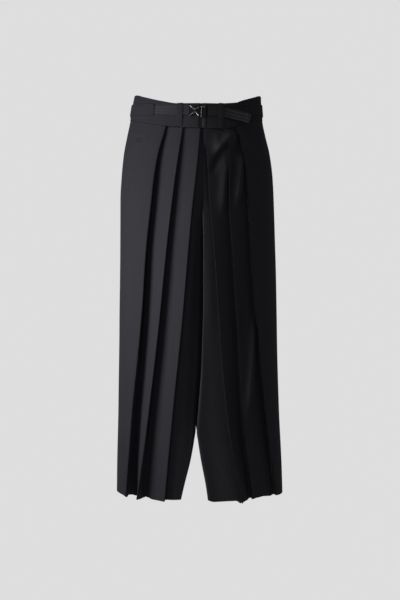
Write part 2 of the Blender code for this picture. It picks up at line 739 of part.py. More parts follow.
    # socket: drawn in to a narrow waist, wide at both ends; the prong half is a plain ladder frame
    upper = [(-20.8, 12.5), (-18.6, 12.5), (-13.0, 8.4), (-8.4, 4.4), (-6.0, 3.5), (-3.8, 4.4), (-0.6, 8.6), (2.6, 12.5), (3.5, 12.5)]
    lower = [(3.5, -14.7), (2.6, -14.7), (-0.6, -10.6), (-3.8, -5.9), (-6.0, -4.8), (-8.4, -5.9), (-13.0, -10.2), (-18.6, -14.7), (-20.8, -14.7)]
    extrude("buckle_socket", upper + lower, 0.2, 8.2, plastic, frame)
    prong = [(3.8, -15.2), (20.5, -15.2), (20.5, 12.6), (3.8, 12.6)]
    extrude("buckle_prong", prong, 0.4, 7.4, plastic, frame)

    # belt loops over the belt and webbing
    def loop(name, t, width, bulge, under=0.0, over=0.0):
        x, y = ring(t, 20)
        lo, hi = seam_low(t) + 0.6, seam_high(t) - 0.6
        base = BAND / 2 + GAP + 0.6
        m = belt_mid(x, y)
        dip, top = m - under, m - over
        profile = [(lo, base), (dip - 17.5, base + 0.2), (dip - 14.3, bulge), (top + 14.3, bulge), (min(top + 17.2, hi - 0.8), base + 0.2), (hi, base)]
        half = width / 2 / np.linalg.norm(ring(t + 0.5, 20) - ring(t - 0.5, 20))
        outer, inside = [], []
        for sgn, grid in ((1, outer), (-1, inside)):
            for z, off in profile[::-1]:
                row = []
                for k in (-1, 0, 1):
                    p = facet(t + k * half, z, off + sgn * 0.6)
                    row.append((p[0], p[1], z))
                grid.append(row)
        return wall(name, outer, inside, suiting)

    one = BAND / 2 + GAP + 0.2 + WEB + GAP + 0.6
    loop("loop_front_right", turn_at(-49, 14), 15, one + 0.1, 0.0, 1.1)
    loop("loop_front_left", turn_at(51.5, 14), 13, one + WEB + GAP + 0.2, 4.5, 3.2)
    two = BAND / 2 + GAP + 0.2 + 2.4 + GAP + 0.7
    loop("loop_side_right", -100, 13, two)
    loop("loop_side_left", 100, 13, two)
    loop("loop_back", 180, 13, two)


main()
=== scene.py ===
"""The looks of the pleated hakama trousers: cloth, webbing, buckle, stitching, camera and lights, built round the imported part.

The tables and the section rules repeat the part's own, in millimetres, so that every shown piece lies on its solid.
"""

import bpy
import bmesh
import math
import numpy as np
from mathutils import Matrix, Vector


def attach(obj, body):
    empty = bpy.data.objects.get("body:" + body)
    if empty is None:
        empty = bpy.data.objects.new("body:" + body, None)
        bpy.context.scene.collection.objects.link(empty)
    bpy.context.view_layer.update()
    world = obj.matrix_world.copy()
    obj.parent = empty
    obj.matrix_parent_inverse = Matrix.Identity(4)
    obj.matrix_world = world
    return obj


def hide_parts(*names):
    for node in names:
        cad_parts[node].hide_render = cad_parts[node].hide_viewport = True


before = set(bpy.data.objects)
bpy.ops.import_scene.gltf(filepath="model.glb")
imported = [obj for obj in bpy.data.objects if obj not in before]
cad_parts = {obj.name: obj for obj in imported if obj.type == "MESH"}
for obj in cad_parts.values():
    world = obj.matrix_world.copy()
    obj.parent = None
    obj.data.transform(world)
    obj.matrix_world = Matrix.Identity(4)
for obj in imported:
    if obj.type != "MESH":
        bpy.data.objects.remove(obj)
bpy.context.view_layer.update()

MM = 0.001
WALL = 1.2  # a cloth panel
BAND = 2.4  # the waistband, faced and interlined
WEB = 1.5  # webbing
GAP = 0.3  # between pieces
SIDE = 0.32  # half the gap at a side seam, where front and back meet at an angle
LAY = 1.75  # between the middles of two folded layers
FLY_END = -225.0
CROTCH_Z = -315.0
CROTCH_Y = 15.0

# the body form: height, wearer's right and left sides, front, back, squareness of the ring at the back, how roof-like its
# front is, and how far the front's crest stands towards the wearer's left of the middle
FORM = (
    ("z", "right", "left", "front", "back", "square", "roof", "crest"),
    (70, -166, 155.5, -102, 98, 2.05, 1.7, 8),
    (46, -171, 156, -105, 101, 2.05, 1.7, 8),
    (3, -178, 159.5, -110, 105, 2.1, 1.65, 8),
    (-40, -187, 168, -116, 113, 2.15, 1.65, 8),
    (-82, -195, 178, -122, 124, 2.2, 1.65, 8),
    (-144, -201, 186, -127, 135, 2.25, 1.7, 8),
    (-200, -204, 189, -130, 137, 2.3, 1.75, 8),
    (-300, -204, 192, -132, 124, 2.4, 1.85, 7),
    (-400, -205, 195, -131, 109, 2.5, 1.95, 6),
    (-544, -206.5, 197, -131, 103, 2.5, 2.1, 5),
    (-729, -209, 202, -134, 98, 2.5, 2.3, 4),
    (-868, -211.5, 208, -138, 96, 2.45, 2.4, 3),
    (-948, -213, 211, -141, 95, 2.4, 2.4, 2),
)

# one row per height for each pleat: where its ridge is across the front, how far the ridge stands off the form, the
# drop from the ridge to the face beside it, the cloth tucked under the ridge, and how the face below comes forward
PLEAT_HEAD = ("z", "x", "proud", "drop", "tuck", "bow")
PLEATS = {
    "right_1": (
        PLEAT_HEAD,
        (-28, -86.4, 0, 4.0, 28, 0.0),
        (-108, -107.9, 0, 8.5, 30, 0.0),
        (-220, -122.7, 0, 12, 32, 0.0),
        (-328, -134.4, 0, 15, 30, 0.0),
        (-500, -146.0, 0, 18, 24, 0.05),
        (-743, -170.2, 0, 24, 14, 0.5),
        (-948, -185.5, 1, 34, 6, 0.9),
    ),
    "right_2": (
        PLEAT_HEAD,
        (-28, -42.9, 0, 4.0, 28, 0.0),
        (-108, -55.1, 0, 8.5, 30, 0.0),
        (-220, -70.0, 0, 12, 32, 0.0),
        (-328, -82.6, 0, 15, 30, 0.0),
        (-500, -99.8, 0, 18, 26, 0.0),
        (-743, -127.0, 2, 23, 16, 0.15),
        (-948, -150.5, 12, 38, 7, 0.5),
    ),
    "right_3": (
        PLEAT_HEAD,
        (-28, 0.7, 0, 4.0, 28, 0.0),
        (-108, -5.8, 0, 9, 30, 0.0),
        (-220, -18.1, 0, 13, 32, 0.0),
        (-328, -28.2, 0, 16, 30, 0.0),
        (-500, -43.0, 0, 17, 28, 0.0),
        (-743, -67.8, 0, 17, 20, 0.0),
        (-948, -86.8, 3, 18, 12, 0.0),
    ),
    "left_1": (
        PLEAT_HEAD,
        (-28, 89.8, 0, 3.5, 22, 0.0),
        (-107, 108.4, 0, 5, 28, 0.0),
        (-219, 119.4, 0, 7, 30, 0.0),
        (-328, 126.0, 0, 9, 30, 0.0),
        (-500, 138.8, 0, 11, 26, 0.0),
        (-743, 162.6, 0, 12, 18, 0.0),
        (-948, 191.0, 0, 10, 9, 0.0),
    ),
    "left_2": (
        PLEAT_HEAD,
        (-28, 59.6, 0, 3.5, 22, 0.0),
        (-109, 68.8, 0, 6.5, 28, 0.0),
        (-221, 73.0, 0, 10, 30, 0.0),
        (-329, 80.2, 0, 13, 30, 0.0),
        (-500, 91.4, 0, 15, 26, 0.0),
        (-741, 106.0, 0, 17, 20, 0.0),
        (-948, 128.1, 0, 15, 12, 0.0),
    ),
    "left_3": (
        PLEAT_HEAD,
        (-28, 9.6, 0, 3.5, 28, 0.0),
        (-110, 17.7, 0, 7, 30, 0.0),
        (-221, 24.7, 0, 11, 32, 0.0),
        (-329, 35.1, 0, 14, 30, 0.0),
        (-500, 46.0, 0, 17, 28, 0.0),
        (-740, 66.3, 4, 20, 22, 0.0),
        (-948, 98.3, 22, 24, 14, 0.0),
    ),
}

# the middle plane between the legs, and where each leg's inner edge leaves it
MIDDLE = (
    ("z", "x"),
    (70, 7.4),
    (-200, 7.2),
    (-250, 5.2),
    (-480, 5.0),
    (-555, 2.6),
    (-624, 0.2),
    (-690, -4.6),
    (-742, -8.4),
    (-778, -10.4),
    (-948, -15.0),
)
# how far each leg's inner edge stands from the middle plane, the depth of the groove there, the corner's rounding, how
# far the inner side bows away behind it, and how the face before it swells forward
INNER_HEAD = ("z", "off", "depth", "round", "bow", "belly")
INNER = {
    "right": (
        INNER_HEAD,
        (70, 0.75, 3.5, 1, 0, 0),
        (-110, 0.75, 11, 1, 0, 1),
        (-240, 0.75, 24, 3, 0, 2),
        (-330, 0.75, 33, 10, 2, 3),
        (-500, 0.9, 40, 16, 6, 4),
        (-742, 1.2, 40, 14, 8, 4),
        (-778, 1.6, 36, 12, 8, 4),
        (-806, 4.6, 33, 10, 8, 4),
        (-851, 11.6, 28, 8, 8, 4),
        (-902, 23.2, 24, 6, 8, 3),
        (-948, 32.5, 20, 5, 8, 3),
    ),
    "left": (
        INNER_HEAD,
        (70, 0.75, 3.5, 1, 0, 0),
        (-110, 0.75, 11, 1, 0, 1.5),
        (-240, 0.75, 24, 3, 0, 4),
        (-330, 0.75, 33, 12, 2, 7),
        (-500, 0.9, 42, 20, 6, 9),
        (-742, 1.2, 44, 24, 8, 11),
        (-778, 1.6, 43, 26, 8, 11),
        (-806, 6.2, 42, 28, 8, 11),
        (-851, 14.6, 40, 30, 8, 11),
        (-902, 25.6, 37, 32, 8, 10),
        (-948, 33.0, 33, 34, 8, 9),
    ),
}

# how far the rise seam comes through between the legs, front and back
RISE_FRONT = (
    ("z", "y"),
    (-240, -119),
    (-252, -108),
    (-266, -88),
    (-280, -62),
    (-294, -34),
    (-306, -8),
    (-315, 15),
)
RISE_BACK = (
    ("z", "y"),
    (-170, 137),
    (-190, 128),
    (-220, 112),
    (-250, 90),
    (-276, 66),
    (-297, 40),
    (-309, 22),
    (-315, 15),
)

# the waistband's edges across the front
BAND_EDGE = (
    ("x", "low", "high"),
    (-178, 2.0, 66.0),
    (-170, -0.8, 66.0),
    (-144, -9.6, 56.8),
    (-99, -20.1, 42.1),
    (-50, -27.7, 31.9),
    (5, -31.5, 31.0),
    (52, -31.9, 31.6),
    (84, -25.0, 34.2),
    (106, -14.6, 43.6),
    (138, -3.8, 56.9),
    (152, 0.5, 63.7),
    (160, 2.0, 65.0),
)


class Track:
    """A named column of a table, eased through its rows without overshoot."""

    def __init__(self, table, name, key="z"):
        head = table[0]
        rows = sorted(table[1:], key=lambda r: r[head.index(key)])
        self.k = np.array([r[head.index(key)] for r in rows], float)
        self.v = np.array([r[head.index(name)] for r in rows], float)
        h = np.diff(self.k)
        d = np.diff(self.v) / h
        m = np.zeros(len(self.k))
        if len(d) == 1:
            m[:] = d[0]
        else:
            for i in range(1, len(m) - 1):
                if d[i - 1] * d[i] > 0:
                    w1, w2 = 2 * h[i] + h[i - 1], h[i] + 2 * h[i - 1]
                    m[i] = (w1 + w2) / (w1 / d[i - 1] + w2 / d[i])
            m[0], m[-1] = d[0], d[-1]
        self.m = m

    def __call__(self, key):
        q = min(max(float(key), self.k[0]), self.k[-1])
        i = min(max(int(np.searchsorted(self.k, q)) - 1, 0), len(self.k) - 2)
        h = self.k[i + 1] - self.k[i]
        t = (q - self.k[i]) / h
        return float(
            (2 * t**3 - 3 * t**2 + 1) * self.v[i]
            + (t**3 - 2 * t**2 + t) * h * self.m[i]
            + (-2 * t**3 + 3 * t**2) * self.v[i + 1]
            + (t**3 - t**2) * h * self.m[i + 1]
        )


form = {n: Track(FORM, n) for n in FORM[0][1:]}
pleat = {k: {n: Track(t, n) for n in PLEAT_HEAD[1:]} for k, t in PLEATS.items()}
inner = {k: {n: Track(t, n) for n in INNER_HEAD[1:]} for k, t in INNER.items()}
middle = Track(MIDDLE, "x")
rise_front, rise_back = Track(RISE_FRONT, "y"), Track(RISE_BACK, "y")
band_low, band_high = Track(BAND_EDGE, "low", "x"), Track(BAND_EDGE, "high", "x")


def ring(turn, z, out=0.0):
    """A point of the form's ring: turn is 0 at the front, 90 at the wearer's left, 180 at the back; out is outward."""
    right, left = form["right"](z), form["left"](z)
    mid, half = (right + left) / 2, (left - right) / 2
    square, roof, crest = form["square"](z), form["roof"](z), form["crest"](z)

    def at(t):
        s, c = math.sin(t), math.cos(t)
        deep, n = (-form["front"](z), roof) if c > 0 else (form["back"](z), square)
        u = math.copysign(abs(s) ** (2 / n), s)
        x = mid + half * u + (crest * (1 - u * u) if c > 0 else 0.0)
        y = -deep * math.copysign(abs(c) ** (2 / n), c)
        return np.array([x, y])

    t = math.radians(turn)
    p = at(t)
    d = at(t + 0.01) - at(t - 0.01)
    d /= np.linalg.norm(d)
    return p + out * np.array([d[1], -d[0]])


FACET = 7.5  # the waistband's facets and what lies on it share these turns


def facet(turn, z, out=0.0):
    """The ring taken as straight facets, so bands that lie on one another stay parallel."""
    k = math.floor(turn / FACET)
    t = turn / FACET - k
    return ring(k * FACET, z, out) * (1 - t) + ring((k + 1) * FACET, z, out) * t


def band_turns(first, last):
    """The facet turns between two ends, with the ends."""
    inside = [k * FACET for k in range(math.ceil(first / FACET), math.floor(last / FACET) + 1)]
    inside = [t for t in inside if t - first > 0.6 and last - t > 0.6]
    return [first] + inside + [last]


def across(x, z, front=True):
    """Where x is across the ring, from -1 at the wearer's right to 1 at the left."""
    right, left = form["right"](z), form["left"](z)
    mid, half, crest = (right + left) / 2, (left - right) / 2, form["crest"](z) if front else 0.0
    u = (x - mid) / half
    if crest:
        u = (half - math.sqrt(max(half * half - 4 * crest * (x - mid - crest), 0.0))) / (2 * crest)
    return min(max(u, -1.0), 1.0)


def turn_at(x, z):
    """The turn at which the form's front reaches x."""
    u = across(x, z)
    return math.degrees(math.asin(math.copysign(abs(u) ** (form["roof"](z) / 2), u)))


class Wrap:
    """Half of the form's ring at a height, from the middle plane out to the side, laid flat as (along, depth)."""

    def __init__(self, z, side, back=False):
        t0 = turn_at(middle(z) - 60 * side, z)
        if back:
            turns = np.linspace(side * 180 - t0, side * 90, 240)
        else:
            turns = np.linspace(t0, side * 90, 240)
        p = np.array([ring(t, z) for t in turns])
        d = np.gradient(p, axis=0)
        d /= np.linalg.norm(d, axis=1)[:, None]
        n = np.stack([-d[:, 1], d[:, 0]], 1) * side * (-1 if back else 1)
        self.p, self.n = p, n
        a = np.concatenate([[0], np.cumsum(np.linalg.norm(np.diff(p, axis=0), axis=1))])
        x = p[:, 0] * side
        self.a = a - np.interp(middle(z) * side, x, a)
        self.x, self.side = x, side
        self.reach = self.a[-1]

    def along(self, x):
        return float(np.interp(x * self.side, self.x, self.a))

    def at(self, a, depth):
        px, py = (np.interp(a, self.a, self.p[:, k]) for k in (0, 1))
        nx, ny = (np.interp(a, self.a, self.n[:, k]) for k in (0, 1))
        return np.array([px + depth * nx, py + depth * ny])


def corner_path(a, b, c, radius):
    """From a to b to c with the corner at b rounded."""
    a, b, c = (np.asarray(v, float) for v in (a, b, c))
    la, lc = np.linalg.norm(a - b), np.linalg.norm(c - b)
    r = max(min(radius, 0.45 * la, 0.6 * lc), 1e-3)
    p, q = b + (a - b) / la * r, b + (c - b) / max(lc, 1e-9) * r
    t = np.linspace(0, 1, 14)[:, None]
    arc = (1 - t) ** 2 * p + 2 * t * (1 - t) * b + t**2 * q
    return p, arc, q


def even(path, count):
    """A path taken again as this many points, evenly spaced."""
    path = np.asarray(path, float)
    step = np.linalg.norm(np.diff(path, axis=0), axis=1)
    s = np.concatenate([[0], np.cumsum(step)])
    q = np.linspace(0, s[-1], count)
    return np.stack([np.interp(q, s, path[:, k]) for k in (0, 1)], 1)


def seam_low(turn):
    """Height of the waistband's lower edge."""
    x, y = ring(turn, -15)
    return band_low(x) if y < 0 else 2.0 - 2.0 * min(y / 60.0, 1.0)


def seam_high(turn):
    """Height of the waistband's upper edge."""
    x, y = ring(turn, 50)
    return band_high(x) if y < 0 else 65.0 - 1.5 * min(y / 60.0, 1.0)


def turn_of(x, y, z):
    """The turn of a point on the form or near it."""
    n = form["roof"](z) if y < 0 else form["square"](z)
    u = across(x, z, y < 0)
    v = -y / -form["front"](z) if y < 0 else -y / form["back"](z)
    s, c = (math.copysign(abs(q) ** (n / 2), q) for q in (u, v))
    return math.degrees(math.atan2(s, c))


def smooth(t):
    t = np.clip(t, 0.0, 1.0)
    return t * t * (3 - 2 * t)


# ---------------------------------------------------------------------------------------------------------------------
# soft folds: a crest runs from (x0, z0) over (xm, zm) to (x1, z1) across the front or back, stands
# `height` off the cloth, and fades over `width` to each side; a negative height is a trough
CREASE_HEAD = ("x0", "z0", "xm", "zm", "x1", "z1", "height", "width")
FRONT_CREASES = (
    CREASE_HEAD,
    # wearer's left thigh: the diagonal pull from the second pleat down to the third
    (84, -34, 64, -60, 32, -104, 9.6, 10.0),
    (88, -28, 70, -56, 41, -98, 7.5, 24.0),
    (70, -66, 48, -98, 26, -154, -7.2, 8.5),
    (74, -88, 60, -150, 58, -262, 8.4, 12.5),
    (42, -38, 46, -58, 38, -88, 2.2, 8.0),
    # the second panel's bulge
    (109, -76, 100, -150, 91, -240, 9.0, 9.0),
    (112, -40, 100, -62, 92, -96, -2.2, 7.0),
    # lower soft swell on the wearer's left
    (143, -470, 137, -610, 116, -770, 8.0, 9.5),
    (116, -420, 112, -500, 108, -600, -1.6, 10.0),
    # drag lines from the wearer's right of the waist
    (-176, -26, -160, -34, -144, -44, 2.0, 5.0),
    (-170, -44, -156, -54, -146, -66, 1.5, 5.0),
    (-178, -34, -162, -44, -148, -56, -1.8, 5.0),
    (-176, -62, -164, -96, -158, -150, -1.0, 9.0),
    # long soft drape on the wearer's right side face
    (-168, -120, -182, -320, -196, -560, 0.8, 20.0),
    (-116, -150, -146, -340, -172, -520, -0.6, 12.0),
    # inner faces over the knees
    (20, -330, 22, -420, 26, -560, 1.2, 12.0),
    (-14, -300, -22, -430, -34, -600, 1.0, 10.0),
    (60, -560, 66, -680, 78, -800, 1.0, 14.0),
)
BACK_CREASES = (
    CREASE_HEAD,
    (-96, -330, -104, -560, -112, -940, 4.0, 26.0),
    (-44, -420, -50, -640, -62, -940, -3.0, 20.0),
    (-160, -260, -166, -520, -172, -940, -3.0, 22.0),
    (92, -320, 100, -560, 110, -940, 4.2, 26.0),
    (42, -410, 48, -640, 60, -940, -3.0, 20.0),
    (156, -250, 162, -520, 170, -940, -3.0, 22.0),
    (-30, -196, -62, -236, -104, -262, 1.8, 14.0),
    (-34, -232, -64, -272, -98, -300, -1.8, 12.0),
    (34, -200, 66, -240, 106, -266, 1.8, 14.0),
    (38, -236, 68, -276, 100, -304, -1.8, 12.0),
    (-120, -30, -112, -90, -104, -170, 1.4, 14.0),
    (112, -30, 106, -90, 98, -170, 1.4, 14.0),
)


def relief(x, z, table):
    """How far the soft folds stand off the cloth at each (x, z)."""
    out = np.zeros(x.shape)
    for x0, z0, xm, zm, x1, z1, height, width in table[1:]:
        t = np.linspace(0, 1, 15)
        q = np.stack([(1 - t) ** 2 * a + 2 * t * (1 - t) * b + t**2 * c for a, b, c in ((x0, xm, x1), (z0, zm, z1))], 1)
        best, where = np.full(x.shape, 1e9), np.zeros(x.shape)
        for i in range(len(t) - 1):
            d = q[i + 1] - q[i]
            s = np.clip(((x - q[i, 0]) * d[0] + (z - q[i, 1]) * d[1]) / d.dot(d), 0, 1)
            far = np.hypot(x - q[i, 0] - s * d[0], z - q[i, 1] - s * d[1])
            near = far < best
            best = np.where(near, far, best)
            where = np.where(near, (i + s) / (len(t) - 1), where)
        ends = smooth(np.minimum(where, 1 - where) / 0.3)
        out += height * np.exp(-((best / width) ** 2)) * ends
    return out


def ripple(x, z):
    """The slight unevenness that any hanging cloth has."""
    return (
        0.22 * np.sin(x / 23.0 + 1.3 + 0.9 * np.sin(z / 61.0))
        + 0.16 * np.sin(x / 11.0 + 0.4 + 1.4 * np.sin(z / 47.0 + 0.7))
        + 0.14 * np.sin(z / 29.0 + 1.1 * np.sin(x / 31.0))
    )


# ---------------------------------------------------------------------------------------------------------------------
# the sections at full fineness
SHELL = 0.9  # the shown cloth's thickness
SIDE_SPOTS = (0.0, 0.4, 0.8, 1.3, 2.0, 3.2, 5.0, 8.0, 12.0)  # columns beside a side seam
ARC_N, UNDER_N, OVER_N, FACE_N = 7, 7, 6, 24


def arc(mid, e, n, reach):
    t = np.linspace(0, math.pi, ARC_N)[:, None]
    return mid - np.cos(t) * n * LAY / 2 + np.sin(t) * e * reach * LAY


def jog(y, z):
    """Where the two legs touch they press into one another, so the meeting line isn't quite straight."""
    return 4.0 * np.sin((y + 85.0) / 16.0) * smooth((y + 85.0) / 15.0) * smooth((85.0 - y) / 20.0) * smooth((-200.0 - z) / 60.0) * smooth((z + 800.0) / 60.0)


def deepen(z, side, i):
    """The shown tucks stand a little more open than the solid's."""
    if side > 0:
        strip = float(smooth((-50.0 - z) / 40.0) * smooth((z + 262.0) / 50.0))
        return (1.25, 1.25, 1.0)[i] + (0.0, 0.0, 1.05)[i] * strip
    top = float(smooth((z + 330.0) / 180.0))
    low = float(smooth((-640.0 - z) / 240.0))
    return (1.42, 1.22, 1.12)[i] + (0.25, 0.16, 0.0)[i] * top - (0.26, 0.12, 0.05)[i] * low


def apart(who, z):
    """How far a leg's inner face stands from the plane between the legs."""
    return max(0.5, inner[who]["off"](z) - float(np.interp(z, (-948, -915, -890, -745, -735), (0.4, 0.7, 1.3, 1.2, 0.0))))


def front_line(z, side):
    """A front panel's middle line at one height, its outward directions, how much of the soft folds it takes, and where
    painted shade darkens its fold edges.
    """
    who = "left" if side > 0 else "right"
    w = Wrap(z, side)
    folds = [{n: f(z) for n, f in pleat[f"{who}_{i}"].items()} for i in (1, 2, 3)]
    for f in folds:
        f["a"] = w.along(f["x"])
    start = w.reach - 0.02
    first, proud = folds[0]["a"], folds[0]["proud"]
    spots = [start - s for s in SIDE_SPOTS]
    spots += list(np.linspace(spots[-1], first, 24)[1:])
    pts = [np.array([[a, -proud * ((start - a) / (start - first)) ** 2] for a in spots])]
    noses = []
    face = [(w.reach, 0.0), (first, -proud)]

    def depth_on(face, a):
        fa = np.array(face)[::-1]
        return np.interp(a, fa[:, 0], fa[:, 1])

    def fold(before, nose, after, out, s):
        before, nose, after = (np.array(v, float) for v in (before, nose, after))
        d1, d2 = nose - before, after - nose
        e = d1 / np.linalg.norm(d1) - d2 / np.linalg.norm(d2)
        e /= np.linalg.norm(e)
        e = e * s + np.array([out, 0.0]) * (1 - s)
        e /= np.linalg.norm(e)
        n = np.array([-e[1], e[0]])
        if n[1] < 0:
            n = -n
        return arc(nose - e * 0.3 * s * LAY, e, n, 0.45 - 0.03 * s if side < 0 else 0.2)

    for i, f in enumerate(folds):
        a, r, h = f["a"], -f["proud"], f["tuck"]
        f["drop"] *= deepen(z, side, i)
        low = r + f["drop"]
        v = max(low + 0.12 * f["drop"] * h / 30, float(depth_on(face, a + h)) + 2 * LAY + 0.2)
        ridge, valley = (a, r + LAY / 2), (a + h, v - LAY / 2)
        if i < 2:
            g = folds[i + 1]
            end = -g["proud"]
            t = np.linspace(0, 1, 33)
            shape = np.stack([a + (g["a"] - a) * t, end + (low - end) * (1 - t) * (1 + g["bow"] * t)], 1)
        s = float(smooth((f["drop"] - 6) / 8))
        came = pts[-1][-2]
        turn = fold(came, ridge, valley, -1.0, s)
        pts[-1] = pts[-1][:-1]
        began = sum(len(q) for q in pts)
        noses.append((began, began + len(turn)))
        pts.append(turn)
        back = fold(ridge, valley, (a, low), 1.0, s)
        t = np.linspace(0, 1, UNDER_N + 2)[1:-1, None]
        under = turn[-1] + (back[0] - turn[-1]) * t
        under[:, 1] = np.maximum(under[:, 1], depth_on(face, under[:, 0]) + LAY)
        pts += [under, back]
        t = np.linspace(0, 1, OVER_N + 1)[1:, None]
        over = back[-1] + (np.array([a, low]) - back[-1]) * t
        over[:, 1] = np.maximum(over[:, 1], depth_on(face, over[:, 0]) + 2 * LAY)
        pts.append(over)
        if i < 2:
            face = [(a + h, v), (a, low)] + [tuple(q) for q in shape[1:]]
            t = np.linspace(0, 1, FACE_N + 1)[1:]
            pts.append(np.stack([a + (g["a"] - a) * t, end + (low - end) * (1 - t) * (1 + g["bow"] * t)], 1))
    pts = np.concatenate(pts)
    line = np.array([w.at(a, d) for a, d in pts])
    # inner face: from under the third ridge to the groove between the legs, then back along the middle plane
    k = {n: f(z) for n, f in inner[who].items()}
    mid = middle(z)
    off = apart(who, z) if z < -200 else 0.5
    xc = mid + side * off
    c = w.at(w.along(xc), k["depth"])
    c[0] = xc
    last = line[-1]
    flat = float(smooth((-212.0 - z) / 34.0)) * (0.95 - 0.10 * float(smooth((-700.0 - z) / 240.0))) if side > 0 else 0.0
    lower = float(smooth((-540.0 - z) / 140.0))
    c += (np.array([xc + 2.5, last[1] - (0.27 + 0.03 * lower) * abs(last[0] - xc)]) - c) * flat
    y_end = rise_front(z) - GAP / 2 if z > CROTCH_Z else CROTCH_Y - GAP / 2
    y_end = max(y_end, c[1] + 3.0)
    xe = mid + side * 0.4 if z > -772 else xc + side * 3.0 * (-772 - z) / 176
    e = np.array([xe, y_end])
    round_ = max(k["round"] if z < -200 else 1.0, 1.2)
    if side > 0:
        round_ += (3.0 + 3.0 * lower - round_) * min(flat * 1.2, 1.0)
    p, bend, q = corner_path(last, c, e, round_)
    bend = even(bend, 9)
    t = np.linspace(0, 1, 17)[:, None]
    ease = np.linspace(0, 1, 15)[:, None]
    back = q + (e - q) * ease
    back[:, 0] += (side * k["bow"] * np.sin(np.pi * ease) ** 2)[:, 0]
    run = last + (p - last) * t
    if side > 0:
        full = float(smooth((-212.0 - z) / 34.0))
        run[:, 1] -= 0.02 * (1 - lower) * full * abs(p[0] - last[0]) * np.sin(np.pi * t[:, 0])
        run[:, 1] -= 0.012 * lower * abs(p[0] - last[0]) * np.sin(2 * np.pi * t[:, 0])
        run[:, 1] -= (1 - full) * 0.3 * k["belly"] * np.sin(np.pi * t[:, 0])
    else:
        run[:, 1] -= k["belly"] * np.sin(np.pi * t[:, 0])
    inside = np.concatenate([run[1:-1], bend, back[1:]])
    inside[:, 0] += jog(inside[:, 1], z)
    line = np.concatenate([line, inside])
    mask = np.concatenate([np.ones(len(pts)), np.ones(15), np.linspace(1, 0.2, 9), np.linspace(0.2, 0, 14)])
    # painted shade: a weight that darkens the fold noses' colour, full on the wearer's left and a third on the right
    fold_edge_shade = np.zeros(len(mask))
    for lo, hi in noses:
        fold_edge_shade[lo:hi] = 1.0 if side > 0 else 0.35
    mask *= smooth((np.arange(len(mask)) + 2) / 14.0)
    a_all = np.array([w.along(x) for x in line[:, 0]])
    a_all[: len(pts)] = pts[:, 0]
    x_all = np.interp(a_all, w.a, w.x) * side
    nrm = -np.stack([np.interp(a_all, w.a, w.n[:, j]) for j in (0, 1)], 1)
    return line, nrm, mask, x_all, fold_edge_shade


def back_line(z, side):
    """A back panel's middle line at one height."""
    who = "left" if side > 0 else "right"
    w = Wrap(z, side, back=True)
    mid = middle(z)
    deep = 0.0 if z > -170 else 16 * min((-170 - z) / 160, 1.0)
    off = apart(who, z) if z < -170 else 0.5
    lean = 0.0 if z > -740 else 6.0 * (-740 - z) / 208
    xc = mid + side * (off + lean)
    xe = mid + side * 0.4 if z > -772 else mid + side * off + side * 3.0 * (-772 - z) / 176
    c = w.at(w.along(xc), deep)
    c[0] = xc
    y_end = rise_back(z) + GAP / 2 if z > CROTCH_Z else CROTCH_Y + GAP / 2
    y_end = min(y_end, c[1] - 3.0)
    e = np.array([xe, y_end])
    r = 2 + 40 * max(min((-170 - z) / 200, 1.0), 0.0)
    start, turn = w.reach - 0.02, w.along(xc + side * (6 + r))
    spots = [start - s for s in SIDE_SPOTS]
    spots += list(np.linspace(spots[-1], turn, 64)[1:])
    body = np.array([w.at(a, deep * math.exp(-(((a - w.along(xc)) / 26.0) ** 2))) for a in spots])
    p, bend, q = corner_path(body[-1], c, e, r)
    bend = even(bend, 13)
    t = np.linspace(0, 1, 6)[1:-1, None]
    ease = np.linspace(0, 1, 15)[:, None]
    back = q + (e - q) * ease
    back[:, 0] += (side * inner[who]["bow"](z) * np.sin(np.pi * ease) ** 2)[:, 0]
    tail = np.concatenate([body[-1] + (p - body[-1]) * t, bend, back[1:]])
    tail[:, 0] += jog(tail[:, 1], z)
    line = np.concatenate([body, tail])
    mask = np.concatenate([np.ones(len(body)), np.ones(4), np.linspace(1, 0, 13), np.zeros(14)])
    mask *= smooth((np.arange(len(mask)) + 2) / 14.0)
    a_all = np.array([w.along(x) for x in line[:, 0]])
    a_all[: len(spots)] = spots
    x_all = np.interp(a_all, w.a, w.x) * side
    nrm = -np.stack([np.interp(a_all, w.a, w.n[:, j]) for j in (0, 1)], 1)
    return line, nrm, mask, x_all, np.zeros(len(mask))


def offset(line, by):
    """A section's middle line moved sideways by an amount at each point, mitred at its corners."""
    d = np.diff(line, axis=0)
    d /= np.maximum(np.linalg.norm(d, axis=1), 1e-9)[:, None]
    n = np.stack([d[:, 1], -d[:, 0]], 1)
    m = n[:-1] + n[1:]
    m /= np.maximum((m * n[1:]).sum(1), 0.4)[:, None]
    m = np.concatenate([n[:1], m, n[-1:]])
    return line + m * np.asarray(by)[:, None]


